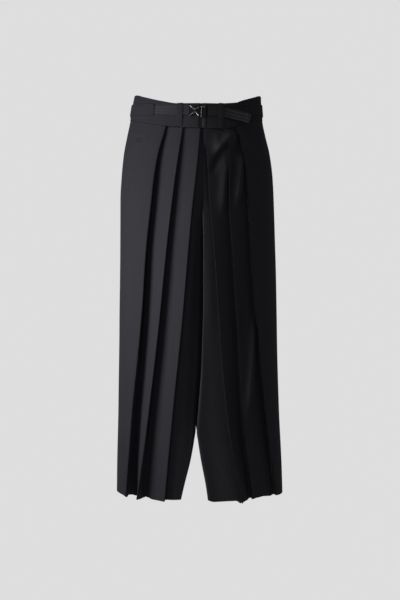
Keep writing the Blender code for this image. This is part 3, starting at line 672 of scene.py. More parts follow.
# ---------------------------------------------------------------------------------------------------------------------
# mesh making
def add_mesh(name, verts, faces, mat, uv=None, smooth_all=True, flip_check=True, fold_edge_shade=None):
    mesh = bpy.data.meshes.new(name)
    mesh.from_pydata((np.asarray(verts, float) * MM).tolist(), [], faces)
    mesh.materials.append(mat)
    if uv is not None:
        layer = mesh.uv_layers.new(name="UVMap")
        index = np.zeros(len(mesh.loops), np.int32)
        mesh.loops.foreach_get("vertex_index", index)
        layer.data.foreach_set("uv", (np.asarray(uv, float) * MM)[index].astype(np.float32).ravel())
    # the painted-shade weight for the fold edges, carried as a point attribute
    if fold_edge_shade is not None:
        mesh.attributes.new("fold_edge_shade", "FLOAT", "POINT").data.foreach_set("value", np.asarray(fold_edge_shade, np.float32))
    bm = bmesh.new()
    bm.from_mesh(mesh)
    bmesh.ops.remove_doubles(bm, verts=bm.verts, dist=1e-7)
    bmesh.ops.dissolve_degenerate(bm, dist=1e-7, edges=bm.edges)
    if flip_check:
        bmesh.ops.recalc_face_normals(bm, faces=bm.faces)
        if bm.calc_volume(signed=True) < 0:
            bmesh.ops.reverse_faces(bm, faces=bm.faces)
    bm.to_mesh(mesh)
    bm.free()
    mesh.polygons.foreach_set("use_smooth", [smooth_all] * len(mesh.polygons))
    obj = bpy.data.objects.new(name, mesh)
    bpy.context.scene.collection.objects.link(obj)
    return obj


def shell(name, outer, inside, uv_grid, mat, fold_edge_shade=None):
    """A closed thin shell from two grids of one size (rows, columns, 3)."""
    rows, cols = outer.shape[:2]
    verts = np.concatenate([outer.reshape(-1, 3), inside.reshape(-1, 3)])
    uv = np.concatenate([uv_grid.reshape(-1, 2)] * 2)
    r, c = np.meshgrid(np.arange(rows - 1), np.arange(cols - 1), indexing="ij")
    a = (r * cols + c).ravel()
    quads = np.stack([a, a + 1, a + cols + 1, a + cols], 1)
    n = rows * cols
    faces = np.concatenate([quads[:, ::-1], quads + n]).tolist()
    rim = [(0, k) for k in range(cols)] + [(k, cols - 1) for k in range(1, rows)]
    rim += [(rows - 1, k) for k in range(cols - 2, -1, -1)] + [(k, 0) for k in range(rows - 2, 0, -1)]
    idx = [i * cols + j for i, j in rim]
    for p, q in zip(idx, idx[1:] + idx[:1]):
        faces.append([p, q, q + n, p + n])
    return add_mesh(name, verts, faces, mat, uv, fold_edge_shade=None if fold_edge_shade is None else np.concatenate([fold_edge_shade.ravel()] * 2))


CUTS = {}  # each panel's widest width, length and flat area, in metres


def cloth_panel(name, section, top, table, mat):
    """A panel of the trousers, hem allowance and all."""
    heights = np.concatenate([np.arange(10, -130, -2.5), np.arange(-130, -330, -4.0), np.arange(-330, -944, -6.0), [-948.0]])[::-1]
    data = [section(z) for z in heights]
    line, nrm, mask, xs, fold_edge_shade = (np.array([d[i] for d in data]) for i in range(5))
    zz = np.repeat(heights[:, None], line.shape[1], 1)
    stand = (relief(xs, zz, table) + ripple(xs, zz)) * mask * smooth((-zz - 20) / 30.0)
    line = line + nrm * stand[..., None]
    cols = line.shape[1]
    # the top edge follows the waistband's lower edge
    lift = np.zeros(cols)
    for _ in range(3):
        for c in range(cols):
            q = top + lift[c]
            x, y = (np.interp(q, heights, line[:, c, k]) for k in (0, 1))
            lift[c] = seam_low(turn_of(x, y, q)) - 0.1 - top
    down = np.concatenate([[0, 0.4, 0.8, 1.3, 2.0, 3.0, 4.5], np.arange(7, 110, 2.6), np.arange(110, 300, 4.2), np.arange(300, 880, 6.4)])
    bottom = -948 - top
    rows = np.concatenate([down[down < -bottom - 44], -bottom - np.array([42, 40, 39, 38, 37, 33, 27, 20, 13, 7, 3, 1.2, 0.5, 0.1])])
    fade = np.maximum(0.0, 1 - rows / 110.0) ** 1.3
    hem = hem_lift[name] if name in hem_lift else None
    q = top - rows[:, None] + lift[None, :] * fade[:, None]
    grid = np.zeros((len(rows), cols, 2))
    for c in range(cols):
        for k in (0, 1):
            grid[:, c, k] = np.interp(q[:, c], heights, line[:, c, k])
    if hem is not None:
        x_low = np.interp(grid[..., 0], *hem)
        q = q + x_low * smooth((rows[:, None] + bottom + 160) / 150.0)
    # edges roll in to the seams; the hem is turned up inside
    roll_top = 0.9 * np.exp(-((rows / 1.0) ** 2))
    side = np.zeros(cols)
    side[: len(SIDE_SPOTS)] = 0.8 * np.exp(-((np.array(SIDE_SPOTS) / 0.9) ** 2))
    left = -bottom - rows
    thin = np.interp(left, [0.1, 0.5, 1.2, 3], [0.35, 0.75, 1.0, 1.0])
    turned = 0.9 * smooth((40.5 - left) / 2.0)
    outer, inside = np.zeros((len(rows), cols, 3)), np.zeros((len(rows), cols, 3))
    half = grid[len(rows) // 2]
    grown = np.hypot(*offset(half, np.ones(cols))[:20].T) - np.hypot(*half[:20].T)
    way = 1.0 if grown.mean() > 0 else -1.0
    for r in range(len(rows)):
        roll = np.maximum(roll_top[r], side)
        outer[r, :, :2] = offset(grid[r], way * (SHELL / 2 * thin[r] - roll))
        inside[r, :, :2] = offset(grid[r], way * (-SHELL / 2 * thin[r] - turned[r] * thin[r] - roll))
        outer[r, :, 2] = inside[r, :, 2] = q[r]
    step = np.linalg.norm(np.diff(grid, axis=1), axis=2)
    u = np.concatenate([np.zeros((len(rows), 1)), np.cumsum(step, 1)], 1)
    uv = np.stack([u, q], 2)
    widest = float(u[:, -1].max())
    area = float(((u[1:, -1] + u[:-1, -1]) / 2 * np.diff(rows)).sum())
    CUTS[name] = (widest * MM, float(rows[-1]) * MM, area * MM * MM)
    print(f"{name}: cloth {widest:.0f} mm wide at its widest, {rows[-1]:.0f} mm long, {area / 1e6:.4f} m2")
    return shell(name, outer, inside, uv, mat, np.tile(fold_edge_shade[len(heights) // 2], (len(rows), 1)))


def sweep(name, loops, mat, uv=None, closed=False):
    """A body from closed loops of points (stations, points, 3), capped at its ends."""
    loops = np.asarray(loops, float)
    s, k = loops.shape[:2]
    faces = []
    for i in range(s if closed else s - 1):
        j = (i + 1) % s
        for p in range(k):
            n = (p + 1) % k
            faces.append([i * k + p, i * k + n, j * k + n, j * k + p])
    if not closed:
        faces.append(list(range(k))[::-1])
        faces.append([(s - 1) * k + p for p in range(k)])
    return add_mesh(name, loops.reshape(-1, 3), faces, mat, None if uv is None else np.asarray(uv).reshape(-1, 2))


def strip_profile(high, thick, face_n, ribs=None, edge=5):
    """A strip's cross-section as a closed loop of (up, out): outer face downwards, lower edge, inner face, upper edge."""
    r = thick / 2
    up = np.linspace(high / 2 - r, -(high / 2 - r), face_n)
    bump = np.zeros(face_n) if ribs is None else ribs(up)
    outer = np.stack([up, r + bump], 1)
    t = np.linspace(0, math.pi, edge + 2)[1:-1]
    low = np.stack([-(high / 2 - r) - r * np.sin(t), r * np.cos(t)], 1)
    inner_face = np.stack([up[::-1], -r + 0 * bump], 1)
    top = np.stack([high / 2 - r + r * np.sin(t), -r * np.cos(t)], 1)
    return np.concatenate([outer, low, inner_face, top])


def round_ends(stations, width):
    """Stations (position along, ...) with a few more at each end, and how much of the thickness is left at each."""
    first, last = stations[0], stations[-1]
    extra = np.array([0.0, 0.12, 0.35, 0.7, 1.2])
    pos = np.concatenate([first + extra * width, [s for s in stations if first + 1.6 * width < s < last - 1.6 * width], (last - extra * width)[::-1]])
    d = np.minimum(pos - first, last - pos) / width
    full = np.sqrt(np.clip(1 - (1 - np.clip(d / 0.9, 0, 1)) ** 2, 0.04, 1))
    return pos, full


# how far the hem's points hang below its level, in millimetres, across each front
HEM_HEAD = ("x", "drop")
HEM_RIGHT = (
    HEM_HEAD,
    (-206, -5.0), (-196, -3.5), (-190, -1.8), (-186, 1.0), (-182, 2.2), (-180, -3.2), (-170, -2.2), (-165, 0.5), (-160, 2.4), (-156, 1.6),
    (-148, 3.4), (-140, 2.4), (-136, 0.0), (-128, 0.0), (-120, 2.6), (-104, 3.0), (-88, 4.0), (-84, 2.2), (-60, 2.2), (-49, 2.0),
)
HEM_LEFT = (
    HEM_HEAD,
    (17, 0.0), (22, -0.5), (27, 2.0), (34, 3.4), (50, 3.2), (70, 2.7), (91, 2.5), (95, 6.0), (99, 9.5), (101, 9.0), (104, 4.5), (108, 2.5),
    (118, 2.0), (123, 0.0), (133, 0.0), (137, -1.8), (147, -2.7), (157, -4.0), (163, -3.0), (170, -2.0), (176, -0.5), (184, -2.5), (197, -1.0),
)
hem_lift = {
    "shown_front_" + who: ([r[0] for r in rows[1:]], [-r[1] for r in rows[1:]]) for who, rows in (("right", HEM_RIGHT), ("left", HEM_LEFT))
}


# ---------------------------------------------------------------------------------------------------------------------
# materials
def new_material(name):
    m = bpy.data.materials.new(name)
    m.use_nodes = True
    return m, m.node_tree, m.node_tree.nodes["Principled BSDF"]


def put(tree, kind, **sockets):
    node = tree.nodes.new(kind)
    for key, value in sockets.items():
        if hasattr(value, "node"):
            tree.links.new(value, node.inputs[key])
        else:
            node.inputs[key].default_value = value
    return node


def mix_colour(tree, factor, a, b):
    n = tree.nodes.new("ShaderNodeMix")
    n.data_type = "RGBA"
    ins = [s for s in n.inputs if s.enabled]
    for s, v in zip(ins, (factor, a, b)):
        if hasattr(v, "node"):
            tree.links.new(v, s)
        else:
            s.default_value = v
    return [s for s in n.outputs if s.enabled][0]


def maths(tree, op, a, b=0.0, clamp=False):
    n = tree.nodes.new("ShaderNodeMath")
    n.operation = op
    n.use_clamp = clamp
    for s, v in zip(n.inputs, (a, b)):
        if hasattr(v, "node"):
            tree.links.new(v, s)
        else:
            s.default_value = v
    return n.outputs[0]


def wool(name, dark, light, weave=1.0):
    """Worsted twill suiting: a steep fine diagonal, a little melange in the yarn and a dry surface with a soft sheen."""
    m, t, b = new_material(name)
    uv = t.nodes.new("ShaderNodeUVMap")
    uv.uv_map = "UVMap"
    where = t.nodes.new("ShaderNodeTexCoord").outputs["Object"]
    turned = put(t, "ShaderNodeMapping", Vector=uv.outputs[0])
    turned.inputs["Rotation"].default_value = (0, 0, math.radians(-58))
    twill = t.nodes.new("ShaderNodeTexWave")
    twill.wave_type, twill.bands_direction, twill.wave_profile = "BANDS", "X", "SIN"
    t.links.new(turned.outputs[0], twill.inputs["Vector"])
    for key, value in (("Scale", 330.0), ("Distortion", 0.6), ("Detail", 1.0), ("Detail Scale", 2.0)):
        twill.inputs[key].default_value = value
    yarn = put(t, "ShaderNodeTexNoise", Vector=where, Scale=1500.0, Detail=2.0, Roughness=0.6)
    slub = put(t, "ShaderNodeTexNoise", Vector=uv.outputs[0], Scale=160.0, Detail=3.0, Roughness=0.65)
    cloud = put(t, "ShaderNodeTexNoise", Vector=where, Scale=14.0, Detail=3.0, Roughness=0.55)
    fleck = maths(t, "MULTIPLY_ADD", yarn.outputs["Fac"], 0.55)
    fleck.node.inputs[2].default_value = 0.0
    mixed = maths(t, "ADD", fleck, maths(t, "MULTIPLY", slub.outputs["Fac"], 0.3))
    mixed = maths(t, "ADD", mixed, maths(t, "MULTIPLY", cloud.outputs["Fac"], 0.3))
    long_ = put(t, "ShaderNodeMapping", Vector=uv.outputs[0])
    long_.inputs["Scale"].default_value = (1.0, 0.05, 1.0)
    streak = put(t, "ShaderNodeTexNoise", Vector=long_.outputs[0], Scale=190.0, Detail=4.0, Roughness=0.7)
    mixed = maths(t, "ADD", mixed, maths(t, "MULTIPLY", streak.outputs["Fac"], 0.9))
    mixed = maths(t, "SUBTRACT", mixed, 0.53, True)
    shade = maths(t, "ADD", mixed, maths(t, "MULTIPLY", maths(t, "SUBTRACT", twill.outputs["Fac"], 0.5), 0.12 * weave), True)
    # painted shade: the fold edges' colour is darkened, standing in for the shade that falls along them
    fold_shade_attr = t.nodes.new("ShaderNodeAttribute")
    fold_shade_attr.attribute_name = "fold_edge_shade"
    cloth = mix_colour(t, shade, (*dark, 1), (*light, 1))
    fold_edge_shade = tuple(0.22 * c for c in dark)
    t.links.new(mix_colour(t, fold_shade_attr.outputs["Fac"], cloth, (*fold_edge_shade, 1)), b.inputs["Base Color"])
    rough = maths(t, "ADD", maths(t, "MULTIPLY", cloud.outputs["Fac"], 0.08), 0.74)
    t.links.new(rough, b.inputs["Roughness"])
    height = maths(t, "ADD", maths(t, "MULTIPLY", twill.outputs["Fac"], 0.6 * weave), maths(t, "MULTIPLY", yarn.outputs["Fac"], 0.4))
    bump = put(t, "ShaderNodeBump", Strength=0.35, Distance=0.00012, Height=height)
    soft = put(t, "ShaderNodeBump", Strength=0.25, Distance=0.0006, Height=cloud.outputs["Fac"], Normal=bump.outputs[0])
    t.links.new(soft.outputs[0], b.inputs["Normal"])
    b.inputs["Specular IOR Level"].default_value = 0.28
    b.inputs["Sheen Weight"].default_value = 0.05
    b.inputs["Sheen Roughness"].default_value = 0.45
    b.inputs["Sheen Tint"].default_value = (0.75, 0.75, 0.85, 1)
    return m


def woven_tape(name, dark, light):
    """Polyester webbing: crosswise ribs of weft under fine lengthwise warp yarns."""
    m, t, b = new_material(name)
    uv = t.nodes.new("ShaderNodeUVMap")
    uv.uv_map = "UVMap"
    where = t.nodes.new("ShaderNodeTexCoord").outputs["Object"]
    cross = t.nodes.new("ShaderNodeTexWave")
    cross.bands_direction = "X"
    t.links.new(uv.outputs[0], cross.inputs["Vector"])
    cross.inputs["Scale"].default_value = 260.0
    warp = t.nodes.new("ShaderNodeTexWave")
    warp.bands_direction = "Y"
    t.links.new(uv.outputs[0], warp.inputs["Vector"])
    warp.inputs["Scale"].default_value = 420.0
    warp.inputs["Distortion"].default_value = 0.4
    fleck = put(t, "ShaderNodeTexNoise", Vector=where, Scale=480.0, Detail=3.0, Roughness=0.75)
    weave = maths(t, "MULTIPLY", cross.outputs["Fac"], warp.outputs["Fac"])
    shade = maths(t, "ADD", maths(t, "MULTIPLY", weave, 0.5), maths(t, "MULTIPLY", fleck.outputs["Fac"], 0.6), True)
    t.links.new(mix_colour(t, shade, (*dark, 1), (*light, 1)), b.inputs["Base Color"])
    t.links.new(maths(t, "ADD", maths(t, "MULTIPLY", fleck.outputs["Fac"], 0.2), 0.42), b.inputs["Roughness"])
    bump = put(t, "ShaderNodeBump", Strength=0.3, Distance=0.00012, Height=maths(t, "ADD", weave, maths(t, "MULTIPLY", fleck.outputs["Fac"], 0.3)))
    t.links.new(bump.outputs[0], b.inputs["Normal"])
    b.inputs["Specular IOR Level"].default_value = 0.3
    b.inputs["Sheen Weight"].default_value = 0.05
    b.inputs["Sheen Roughness"].default_value = 0.45
    return m


def moulded(name, colour, rough):
    """Injection-moulded acetal: a fine satin grain, a touch glossier where it is handled."""
    m, t, b = new_material(name)
    where = t.nodes.new("ShaderNodeTexCoord").outputs["Object"]
    grain = put(t, "ShaderNodeTexNoise", Vector=where, Scale=2600.0, Detail=2.0, Roughness=0.6)
    wear = put(t, "ShaderNodeTexNoise", Vector=where, Scale=120.0, Detail=3.0, Roughness=0.6)
    light = tuple(c * 1.5 for c in colour)
    base = mix_colour(t, wear.outputs["Fac"], (*colour, 1), (*light, 1))
    # painted highlight: the tops of the proud ribs get a lighter, metallic grey so they read as bright highlights; the
    # UV's second value is the height over the back in millimetres
    uv = t.nodes.new("ShaderNodeUVMap")
    uv.uv_map = "UVMap"
    high = put(t, "ShaderNodeSeparateXYZ", Vector=uv.outputs[0]).outputs["Y"]
    rib_top_highlight = maths(t, "MULTIPLY", maths(t, "SUBTRACT", high, 0.0046), 700.0, True)
    t.links.new(mix_colour(t, rib_top_highlight, base, (0.42, 0.42, 0.44, 1)), b.inputs["Base Color"])
    t.links.new(maths(t, "MULTIPLY", rib_top_highlight, 0.92), b.inputs["Metallic"])
    t.links.new(maths(t, "ADD", maths(t, "MULTIPLY", wear.outputs["Fac"], 0.12), rough), b.inputs["Roughness"])
    bump = put(t, "ShaderNodeBump", Strength=0.25, Distance=0.00004, Height=grain.outputs["Fac"])
    t.links.new(bump.outputs[0], b.inputs["Normal"])
    b.inputs["Specular IOR Level"].default_value = 0.6
    return m


def thread(name, dark, light):
    m, t, b = new_material(name)
    where = t.nodes.new("ShaderNodeTexCoord").outputs["Object"]
    twist = put(t, "ShaderNodeTexNoise", Vector=where, Scale=2400.0, Detail=2.0, Roughness=0.5)
    t.links.new(mix_colour(t, twist.outputs["Fac"], (*dark, 1), (*light, 1)), b.inputs["Base Color"])
    bump = put(t, "ShaderNodeBump", Strength=0.5, Distance=0.00008, Height=twist.outputs["Fac"])
    t.links.new(bump.outputs[0], b.inputs["Normal"])
    b.inputs["Roughness"].default_value = 0.55
    return m


# ---------------------------------------------------------------------------------------------------------------------
# what goes round the waist
RING_T = np.arange(-360.0, 780.0, 0.5)
RING_P = np.array([ring(t, 20) for t in np.arange(0.0, 360.0, 0.5)])
RING_S = np.concatenate([[0], np.cumsum(np.linalg.norm(np.diff(np.concatenate([RING_P, RING_P[:1]]), axis=0), axis=1))])
ROUND = float(RING_S[-1])


def mm_at(turn):
    k = math.floor(turn / 360.0)
    return k * ROUND + float(np.interp(turn - 360 * k, np.arange(0, 360.5, 0.5), RING_S))


def turn_for(mm):
    k = math.floor(mm / ROUND)
    return k * 360.0 + float(np.interp(mm - k * ROUND, RING_S, np.arange(0, 360.5, 0.5)))


def point(turn, z, off):
    p = ring(turn, z, off)
    return np.array([p[0], p[1], z])


def laid_strip(name, t0, t1, low, high, off, thick, mat, face_n=13, step=3.0, ribs=None, wobble=None, extra=()):
    """A band lying round the form from one turn to another; low, high and off are functions of the turn."""
    s0, s1 = mm_at(t0), mm_at(t1)
    spots = sorted(set(np.round(np.linspace(s0, s1, max(int((s1 - s0) / step), 3)), 4)) | {round(s0 + e, 4) for e in extra})
    pos, full = round_ends(spots, 1.0)
    loops, uvs = [], []
    for s, k in zip(pos, full):
        t = turn_for(s)
        lo, hi, o = low(t), high(t), off(t)
        prof = strip_profile(hi - lo, thick, face_n, ribs)
        loop, uv = [], []
        run = np.concatenate([[0], np.cumsum(np.linalg.norm(np.diff(prof, axis=0), axis=1))])
        for (up, out), v in zip(prof, run):
            z = (lo + hi) / 2 + up
            w = wobble(s - s0, up, hi - lo) if wobble is not None else 0.0
            loop.append(point(t, z, o + out * k + w))
            uv.append((s, v))
        loops.append(loop)
        uvs.append(uv)
    return sweep(name, loops, mat, uvs)


def belt_mid(x, y):
    u = min(abs(x + 8) / 168.0, 1.0) if y < 0 else 1.0
    return 14.5 + 14.5 * u**1.8 if y < 0 else 29.0 + min(y / 60.0, 1.0)


def belt_mid_at(turn):
    x, y = ring(turn, 20)
    return belt_mid(x, y)


# ---------------------------------------------------------------------------------------------------------------------
# stitching: each stitch is a short plump thread lying on the cloth
def stitches(name, runs, mat, length=2.4, gap=0.9, thick=0.42):
    """Runs of points with outward directions, sewn with stitches of one length."""
    verts, faces = [], []
    ring_n, spine = 6, (-0.5, -0.42, -0.2, 0.2, 0.42, 0.5)
    fat = (0.15, 0.6, 1.0, 1.0, 0.6, 0.15)
    for pts, outs in runs:
        pts, outs = np.asarray(pts, float), np.asarray(outs, float)
        seg = np.linalg.norm(np.diff(pts, axis=0), axis=1)
        s = np.concatenate([[0], np.cumsum(seg)])
        count = max(int(s[-1] / (length + gap)), 1)
        pitch = s[-1] / count
        for i in range(count):
            mid = (i + 0.5) * pitch
            base = len(verts)
            for f, k in zip(spine, fat):
                q = mid + f * length * pitch / (length + gap)
                p = np.array([np.interp(q, s, pts[:, j]) for j in range(3)])
                n = np.array([np.interp(q, s, outs[:, j]) for j in range(3)])
                a = np.array([np.interp(q + 0.3, s, pts[:, j]) - np.interp(q - 0.3, s, pts[:, j]) for j in range(3)])
                a /= max(np.linalg.norm(a), 1e-9)
                n = n - a * n.dot(a)
                n /= max(np.linalg.norm(n), 1e-9)
                b = np.cross(a, n)
                centre = p + n * thick * 0.5 * (0.25 + 0.75 * (1 - (2 * f) ** 2))
                for j in range(ring_n):
                    g = 2 * math.pi * j / ring_n
                    verts.append(centre + (b * math.cos(g) * 0.62 + n * math.sin(g) * 0.5) * thick * k)
            for r in range(len(spine) - 1):
                for j in range(ring_n):
                    n2 = (j + 1) % ring_n
                    faces.append([base + r * ring_n + j, base + r * ring_n + n2, base + (r + 1) * ring_n + n2, base + (r + 1) * ring_n + j])
            faces.append([base + j for j in range(ring_n)][::-1])
            faces.append([base + (len(spine) - 1) * ring_n + j for j in range(ring_n)])
    return add_mesh(name, verts, faces, mat, flip_check=True)


def ring_run(t0, t1, height, off, step=2.0):
    s0, s1 = mm_at(t0), mm_at(t1)
    pts, outs = [], []
    for s in np.linspace(s0, s1, max(int(abs(s1 - s0) / step), 2)):
        t = turn_for(s)
        z = height(t)
        p, q = point(t, z, off), point(t, z, off + 1)
        pts.append(p)
        outs.append(q - p)
    return pts, outs


# ---------------------------------------------------------------------------------------------------------------------
# moulded pieces: a plate whose upper face is a height over (along, up)
def plate(name, xs, low, high, height, floor, frame_, mat, ny=41, edge=1.1):
    o, ax, up, out = frame_
    t = (1 - np.cos(np.linspace(0, math.pi, ny))) / 2 * 0.3 + np.linspace(0, 1, ny) * 0.7
    top, bottom, stand = [], [], []
    x0, x1 = xs[0], xs[-1]
    for x in xs:
        lo, hi = low(x), high(x)
        a, b, rise = [], [], []
        for k in t:
            y = lo + (hi - lo) * k
            d = min(y - lo, hi - y, x - x0, x1 - x)
            h = height(x, y)
            round_ = math.sqrt(max(1 - (1 - min(d / edge, 1.0)) ** 2, 0.0))
            a.append(o + ax * x + up * y + out * (h - min(edge, h - floor) * (1 - round_)))
            b.append(o + ax * x + up * y + out * floor)
            rise.append(h)
        top.append(a)
        bottom.append(b)
        stand.append(rise)
    top, bottom = np.array(top), np.array(bottom)
    uv = np.stack([np.repeat(np.asarray(xs)[:, None], ny, 1), np.array(stand)], 2)
    return shell(name, top, bottom, uv, mat)


# ---------------------------------------------------------------------------------------------------------------------
def build():
    suiting = wool("wool_suiting", (0.0154, 0.0150, 0.0192), (0.0278, 0.0271, 0.0346))
    belting = wool("wool_belt", (0.0154, 0.0150, 0.0192), (0.0278, 0.0271, 0.0346))
    tape = woven_tape("webbing", (0.012, 0.0118, 0.0138), (0.031, 0.0305, 0.0352))
    plastic = moulded("buckle_plastic", (0.006, 0.006, 0.0065), 0.22)
    sewing = thread("sewing_thread", (0.016, 0.016, 0.018), (0.034, 0.034, 0.038))
    made, flats = {}, {}

    # the four panels
    for side, who in ((-1, "right"), (1, "left")):
        made[f"front_{who}"] = cloth_panel(f"shown_front_{who}", lambda z: front_line(z, side), -31.8, FRONT_CREASES, suiting)
        made[f"back_{who}"] = cloth_panel(f"shown_back_{who}", lambda z: back_line(z, side), -2.0, BACK_CREASES, suiting)
        for half in ("front", "back"):
            wide, long_, area = CUTS[f"shown_{half}_{who}"]
            flats[f"{half}_{who}"] = (wide, long_, area)

    # fly placket
    zs = np.concatenate([np.linspace(-27, -37, 8), np.linspace(-38, -232, 60)])
    xs = np.linspace(-11, 25, 24)
    mid_grid = np.zeros((len(zs), len(xs), 3))
    depth_rows = []
    for z in zs:
        both = np.concatenate([front_line(z, s)[0] for s in (-1, 1)])
        both = both[both[:, 1] < 0]
        depth_rows.append([max(both[abs(both[:, 0] - x) < 4][:, 1]) for x in xs])
    depth_rows = np.array(depth_rows)
    smooth_rows = depth_rows.copy()
    for r in range(len(zs)):
        for c in range(len(xs)):
            smooth_rows[r, c] = depth_rows[max(r - 4, 0) : r + 5, max(c - 3, 0) : c + 4].max()
    for r, z in enumerate(zs):
        for c, x in enumerate(xs):
            mid_grid[r, c] = (x if z > -200 else x * (1 - 0.1 * smooth((-200 - z) / 20)) + 0.7, smooth_rows[r, c] + 1.6 + 4.8 * smooth((z + 36.5) / 4.0), z)
    back_grid = mid_grid + np.array([0, 1.1, 0])
    uv = np.stack([mid_grid[..., 0], mid_grid[..., 2]], 2)
    made["fly_placket"] = shell("shown_fly_placket", mid_grid, back_grid, uv, suiting)
    flats["fly_placket"] = (0.036, 0.205)

    # waistband
    start = turn_at(5.6, 0)
    def band_off(t):
        return -2.9 * float(smooth((t - (start + 354.2)) / 4.0))
    def band_wobble(s, up, high):
        wave = 0.12 * math.sin(s / 17.0) * math.cos(up / 13.0) + 0.10 * math.sin(s / 7.3 + up / 9.0)
        lap = 1.5 * min(s / 7.6, 1.0) * float(smooth((9.6 - s) / 1.9)) - 0.5 * float(smooth((3.0 - s) / 3.0))
        return wave + lap * float(smooth((high / 2 - abs(up)) / 5.0))
    made["waistband"] = laid_strip(
        "shown_waistband", start, start + 371, lambda t: seam_low(t) + 0.05, seam_high, band_off, BAND, suiting,
        face_n=23, step=3.0, wobble=band_wobble, extra=(6.5, 7.6, 8.0, 8.3, 8.6, 8.9, 9.2, 9.8, 11))

    flats["waistband"] = ((seam_high(180) - seam_low(180)) * MM, (mm_at(start + 371) - mm_at(start)) * MM)

    # belt of the same cloth round the back
    belt_off = BAND / 2 + GAP + 0.2 + 1.2
    left_end, right_end = turn_at(112, 14), turn_at(-114, 14)
    def belt_wobble(s, up, high):
        near = min(high / 2 - abs(up), 99)
        return -0.28 * math.exp(-(((near - 2.6) / 0.5) ** 2)) + 0.1 * math.sin(s / 9.0) * math.cos(up / 8.0)
    made["belt_back"] = laid_strip(
        "shown_belt_back", left_end, right_end + 360, lambda t: belt_mid_at(t) - 14, lambda t: belt_mid_at(t) + 14,
        lambda t: belt_off, 2.4, belting, face_n=27, step=3.0, wobble=belt_wobble)

    flats["belt_back"] = (0.028, (mm_at(right_end + 360) - mm_at(left_end)) * MM)

    # webbing
    web_off = BAND / 2 + GAP + 0.2 + WEB / 2
    def tape_ribs(up):
        return 0.16 * np.cos(up / 25.4 * 2 * math.pi * 3.5) - 0.1
    def web(name, x0, x1, off, drop0, drop1):
        t0, t1 = turn_at(x0, 12), turn_at(x1, 12)
        flats[name[6:]] = (0.0254, abs(mm_at(t1) - mm_at(t0)) * MM)
        def mid(t):
            x = ring(t, 12)[0]
            return belt_mid(x, -1) + drop0 + (drop1 - drop0) * (x - x0) / (x1 - x0)
        return laid_strip(name, t0, t1, lambda t: mid(t) - 12.7, lambda t: mid(t) + 12.7, lambda t: off, WEB, tape, face_n=29, step=2.0, ribs=tape_ribs)
    made["webbing_right"] = web("shown_webbing_right", -113.2, -25.2, web_off, 0, -1)
    made["webbing_left"] = web("shown_webbing_left", 17.8, 111.2, web_off, -4.5, 0)

    # the free end
    free = []
    for x in (18.6, 24, 30, 37, 42, 48):
        p = ring(turn_at(x, 10), 10, web_off + WEB + GAP + 0.15)
        free.append((p[0], p[1], belt_mid(x, -1) - 4.5))
    lead = np.array(free[-1]) - np.array(free[-2])
    lead /= np.linalg.norm(lead)
    p = np.array(free[-1])
    for k in range(6):
        lead = lead + np.array([0, -0.06 if k < 3 else 0.0, (-0.20, -0.08, -0.02, 0.0, 0.0, 0.0)[k]])
        lead /= np.linalg.norm(lead)
        p = p + lead * 13.2
        free.append(tuple(p))
    free = np.array(free)
    s = np.concatenate([[0], np.cumsum(np.linalg.norm(np.diff(free, axis=0), axis=1))])
    fine = np.linspace(0, s[-1], 200)
    path = np.stack([np.interp(fine, s, free[:, j]) for j in range(3)], 1)
    for _ in range(30):
        path[1:-1] = (path[:-2] + 2 * path[1:-1] + path[2:]) / 4
    pos, full = round_ends(list(np.linspace(0, s[-1], 70)), 0.9)
    q = np.stack([np.interp(pos, fine, path[:, j]) for j in range(3)], 1)
    d = np.gradient(q, pos, axis=0)
    d /= np.linalg.norm(d, axis=1)[:, None]
    loops, uvs = [], []
    for i in range(len(pos)):
        t = turn_at(min(q[i, 0], 57), 10)
        r = (ring(t, 26) - ring(t, -6)) / 32.0
        u = np.array([r[0], r[1], 1.0])
        u -= d[i] * u.dot(d[i])
        u /= np.linalg.norm(u)
        n = np.cross(d[i], u)
        left = s[-1] - pos[i]
        double = float(smooth((11.0 - left) / 1.0)) * 0.75
        stitch = -0.22 * math.exp(-(((left - 8.6) / 0.5) ** 2))
        def free_ribs(up):
            return (0.45 * np.cos(up / 25.0 * 2 * math.pi * 3) - 0.2) * (1 - 0.4 * (double > 0)) + double + stitch
        prof = strip_profile(25.0, WEB, 37, free_ribs)
        run = np.concatenate([[0], np.cumsum(np.linalg.norm(np.diff(prof, axis=0), axis=1))])
        bow = 0.5 * math.sin(pos[i] / 13.0) * smooth((pos[i] - 45) / 20)
        loops.append([q[i] + u * a + n * (b * full[i] + bow) for a, b in prof])
        uvs.append([(pos[i], v) for v in run])
    made["webbing_free_end"] = sweep("shown_webbing_free_end", loops, tape, uvs)
    flats["webbing_free_end"] = (0.025, s[-1] * MM)

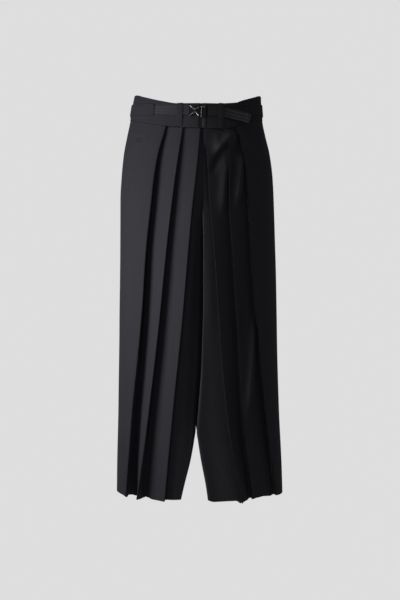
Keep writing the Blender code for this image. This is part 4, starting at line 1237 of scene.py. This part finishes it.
    # belt loops: folded strips sewn over the waistband's top edge and down to its seam
    def loop(name, turn, width, stand, under=0.0, over=0.0):
        lo, hi = seam_low(turn) + 0.9, seam_high(turn)
        base = BAND / 2 + 0.75
        m = belt_mid_at(turn)
        dip, top = m - under, m - over
        knots = np.array([
            (hi - 2.6, -BAND / 2 - 0.75), (hi - 0.6, -BAND / 2 - 0.8), (hi + 0.75, -0.5), (hi + 0.75, 0.5), (hi - 0.4, base + 0.05),
            (hi - 2.5, base + 0.15), (min(top + 18.5, hi - 3.5), base + 0.5), (top + 14.5, stand - 0.1), (top + 6, stand + 0.15), (dip - 6, stand + 0.15),
            (dip - 14.5, stand - 0.1), (dip - 18.5, base + 0.5), (lo + 3, base + 0.15), (lo, base)])
        seg = np.linalg.norm(np.diff(knots, axis=0), axis=1)
        s = np.concatenate([[0], np.cumsum(seg)])
        f = np.linspace(0, s[-1], 240)
        path = np.stack([np.interp(f, s, knots[:, j]) for j in (0, 1)], 1)
        for _ in range(14):
            path[1:-1] = (path[:-2] + 2 * path[1:-1] + path[2:]) / 4
        s = np.concatenate([[0], np.cumsum(np.linalg.norm(np.diff(path, axis=0), axis=1))])
        pos, full = round_ends(list(np.linspace(0, s[-1], 80)), 0.8)
        z, off = (np.interp(pos, s, path[:, j]) for j in (0, 1))
        dz, do = np.gradient(z, pos), np.gradient(off, pos)
        half = width / 2 / np.linalg.norm(ring(turn + 0.5, 20) - ring(turn - 0.5, 20))
        thick = 1.2
        cross = strip_profile(width, thick, 13)
        run = np.concatenate([[0], np.cumsum(np.linalg.norm(np.diff(cross, axis=0), axis=1))])
        loops, uvs = [], []
        for i in range(len(pos)):
            ln = math.hypot(dz[i], do[i])
            nz, no = do[i] / ln, -dz[i] / ln
            loop_, uv = [], []
            left = s[-1] - pos[i]
            tack = -0.3 * (math.exp(-(((left - 3.0) / 0.9) ** 2)) + math.exp(-(((pos[i] - s[-1] * 0 - 9.0) / 0.9) ** 2)))
            for (a, b), v in zip(cross, run):
                groove = -0.22 * math.exp(-(((abs(a) - (width / 2 - 2.2)) / 0.5) ** 2)) if b > 0 else 0.0
                bb = b * full[i] + (groove + tack if b > 0 else 0.0)
                zz = z[i] + nz * bb
                loop_.append(point(turn + half * a / (width / 2), zz, off[i] + no * bb))
                uv.append((pos[i], v))
            loops.append(loop_)
            uvs.append(uv)
        flats[name[6:]] = (width * MM, s[-1] * MM)
        return sweep(name, loops, belting, uvs)

    one = BAND / 2 + GAP + 0.2 + WEB + GAP + 0.6
    two = BAND / 2 + GAP + 0.2 + 2.4 + GAP + 0.7
    made["loop_front_right"] = loop("shown_loop_front_right", turn_at(-49, 14), 15, one + 0.1, 0.0, 1.1)
    made["loop_front_left"] = loop("shown_loop_front_left", turn_at(51.5, 14), 13, one + WEB + GAP + 0.2, 4.5, 3.2)
    made["loop_side_right"] = loop("shown_loop_side_right", -100, 13, two)
    made["loop_side_left"] = loop("shown_loop_side_left", 100, 13, two)
    made["loop_back"] = loop("shown_loop_back", 180, 13, two)

    # the buckle
    mid_turn = turn_at(-4, 9)
    o2 = ring(mid_turn, 9, BAND / 2 + GAP + 0.5)
    ax = ring(turn_at(14, 9), 9) - ring(turn_at(-22, 9), 9)
    ax = np.array([ax[0], ax[1], -1.6])
    ax /= np.linalg.norm(ax)
    rise = (ring(mid_turn, 25) - ring(mid_turn, -7)) / 32.0
    upv = np.array([rise[0], rise[1], 1.0])
    upv -= ax * upv.dot(ax)
    upv /= np.linalg.norm(upv)
    out = np.cross(ax, upv)
    place = (np.array([o2[0], o2[1], 9.0]), ax, upv, out)

    # the socket: two curved arms that meet in the middle, over a sunk black plate cut away above and below them
    def upper_arm(x):
        u = abs(x + 8.0) / (11.6 if x < -8.0 else 9.6)
        return 4.4 + 7.0 * u**1.5
    def lower_arm(x):
        if x > -6.6:
            return -2.9 - 10.4 * min((x + 6.6) / 8.2, 1.0) ** 1.25
        v = min((-6.6 - x) / 13.4, 1.0)
        return -2.9 - 3.6 * float(smooth(v / 0.5)) - 6.4 * max((v - 0.66) / 0.34, 0.0) ** 1.3
    def socket_high(x):
        return upper_arm(x) + 2.0
    def socket_low(x):
        return lower_arm(x) - 2.2
    def socket_height(x, y):
        best = 9.0
        for arm in (upper_arm, lower_arm):
            lean = (arm(x + 0.4) - arm(x - 0.4)) / 0.8
            best = min(best, abs(y - arm(x)) / math.hypot(1.0, lean))
        hub = 0.9 * math.exp(-(((x + 7.4) / 4.0) ** 2) - ((y - 0.6) / 3.2) ** 2)
        tube = 4.9 * math.sqrt(max(1 - (best / 1.75) ** 2, 0.0)) * float(smooth((2.2 - x) / 1.6))
        return 2.4 + max(tube, hub)
    xs_ = np.concatenate([[-20.8, -20.6, -20.3, -19.9], np.linspace(-19.5, 2.6, 84), [2.9, 3.2, 3.4, 3.5]])
    made["buckle_socket"] = plate("shown_buckle_socket", xs_, socket_low, socket_high, socket_height, 0.2, place, plastic, ny=81, edge=0.8)

    def bar(x, x0, x1, rise_, round_):
        d = min(x - x0, x1 - x)
        return rise_ * math.sqrt(max(1 - (1 - min(max(d, 0) / round_, 1)) ** 2, 0.0)) if d > 0 else 0.0
    def prong_height(x, y):
        rail = max(bar(y, -15.2, -12.8, 3.4, 1.2), bar(y, 10.0, 12.6, 5.0, 1.2)) if 5.0 < x < 16.8 else 0.0
        return 1.2 + max(bar(x, 6.0, 10.0, 5.8, 1.7), bar(x, 16.6, 19.6, 3.4, 1.3), rail)
    xs_ = np.concatenate([[3.8, 3.95, 4.1, 4.3], np.linspace(4.5, 19.9, 72), [20.1, 20.3, 20.4, 20.5]])
    made["buckle_prong"] = plate("shown_buckle_prong", xs_, lambda x: -15.2, lambda x: 12.6, prong_height, 0.4, place, plastic, ny=61, edge=0.8)

    # stitching
    runs = []
    for edge in (-11.4, 11.4):
        runs.append(ring_run(left_end + 0.8, right_end + 360 - 0.8, lambda t: belt_mid_at(t) + edge, belt_off + 1.2 - 0.25))
    for t_end, way in ((right_end + 360, -1), (left_end, 1)):
        t = turn_for(mm_at(t_end) + way * 2.6)
        zz = np.linspace(belt_mid_at(t) - 11.4, belt_mid_at(t) + 11.4, 12)
        pts = [point(t, z, belt_off + 0.95) for z in zz]
        outs = [point(t, z, belt_off + 1.95) - point(t, z, belt_off + 0.95) for z in zz]
        runs.append((pts, outs))
    made["belt_stitching"] = stitches("shown_belt_stitching", runs, sewing)
    return made, flats


made, flats = build()

for key, obj in made.items():
    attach(obj, "root")
    if not key.endswith("stitching"):
        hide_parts(key)

# ---------------------------------------------------------------------------------------------------------------------
# camera, lights, backdrop, floor
scene = bpy.context.scene
scene.view_settings.view_transform = "Standard"
scene.view_settings.look = "None"
scene.view_settings.exposure = 0.0
scene.view_settings.gamma = 1.0

cam_data = bpy.data.cameras.new("camera")
cam_data.lens, cam_data.sensor_width, cam_data.sensor_fit = 70.08, 36.0, "AUTO"
cam_data.clip_end = 60
cam = bpy.data.objects.new("camera", cam_data)
cam.location = (0.0, -3.0, -0.457)
cam.rotation_euler = (math.radians(90), 0, 0)
scene.collection.objects.link(cam)
scene.camera = cam


def area_light(name, azimuth, elevation, far, aim, size, spread, power, colour=(1, 1, 1)):
    """A softbox `far` metres from its aim; azimuth is measured from the camera's side towards the wearer's right."""
    az, el = math.radians(azimuth), math.radians(elevation)
    where = Vector(aim) + far * Vector((-math.sin(az) * math.cos(el), -math.cos(az) * math.cos(el), math.sin(el)))
    data = bpy.data.lights.new(name, "AREA")
    data.shape, data.size, data.size_y = "RECTANGLE", size[0], size[1]
    data.spread = math.radians(spread)
    data.energy, data.color = power, colour
    obj = bpy.data.objects.new(name, data)
    obj.location = where
    obj.rotation_euler = (Vector(aim) - Vector(where)).to_track_quat("-Z", "Y").to_euler()
    scene.collection.objects.link(obj)
    return obj


area_light("key", 69, 1, 1.3, (0.03, -0.1, -0.33), (0.85, 0.45), 120, 6.2, (0.955, 0.98, 1.0))
area_light("fill", 48, 42, 3.0, (0, 0, -0.2), (1.2, 1.2), 150, 10.0, (0.97, 0.985, 1.0))
area_light("rear", 178, 30, 3.3, (0, 0, -0.4), (1.2, 1.2), 150, 26.0, (0.98, 0.985, 1.0))
area_light("far_side", -116, 12, 3.0, (0.1, 0, -0.45), (0.9, 1.2), 120, 1.0, (0.98, 0.985, 1.0))
area_light("front", 6, 4, 3.3, (0, 0, -0.45), (1.4, 1.4), 150, 8.0, (1.0, 0.99, 1.0))

world = bpy.data.worlds.new("studio")
scene.world = world
world.use_nodes = True
world.node_tree.nodes["Background"].inputs["Color"].default_value = (0.98, 0.98, 1.0, 1)
world.node_tree.nodes["Background"].inputs["Strength"].default_value = 0.06


def plain_material(name, colour, emit=None):
    m, t, b = new_material(name)
    if emit is None:
        b.inputs["Base Color"].default_value = (*colour, 1)
        b.inputs["Roughness"].default_value = 0.9
    else:
        t.nodes.remove(b)
        e = t.nodes.new("ShaderNodeEmission")
        e.inputs["Color"].default_value = (*colour, 1)
        e.inputs["Strength"].default_value = emit
        t.links.new(e.outputs[0], t.nodes["Material Output"].inputs["Surface"])
    return m


bm = bmesh.new()
bmesh.ops.create_uvsphere(bm, u_segments=48, v_segments=24, radius=9.0)
dome_mesh = bpy.data.meshes.new("backdrop")
bm.to_mesh(dome_mesh)
bm.free()
dome_mesh.materials.append(plain_material("backdrop_grey", (0.730, 0.730, 0.730), 1.0))
dome = bpy.data.objects.new("backdrop", dome_mesh)
dome.location = (0, 0, -0.457)
scene.collection.objects.link(dome)
for ray in ("diffuse", "glossy", "transmission", "volume_scatter", "shadow"):
    setattr(dome, f"visible_{ray}", False)

floor_mesh = bpy.data.meshes.new("floor")
floor_mesh.from_pydata([(-1.9, -3.4, -1.45), (1.9, -3.4, -1.45), (1.9, 0.85, -1.45), (-1.9, 0.85, -1.45)], [], [(0, 1, 2, 3)])
floor_mesh.materials.append(plain_material("floor_pale", (0.62, 0.62, 0.62)))
floor = bpy.data.objects.new("floor", floor_mesh)
scene.collection.objects.link(floor)
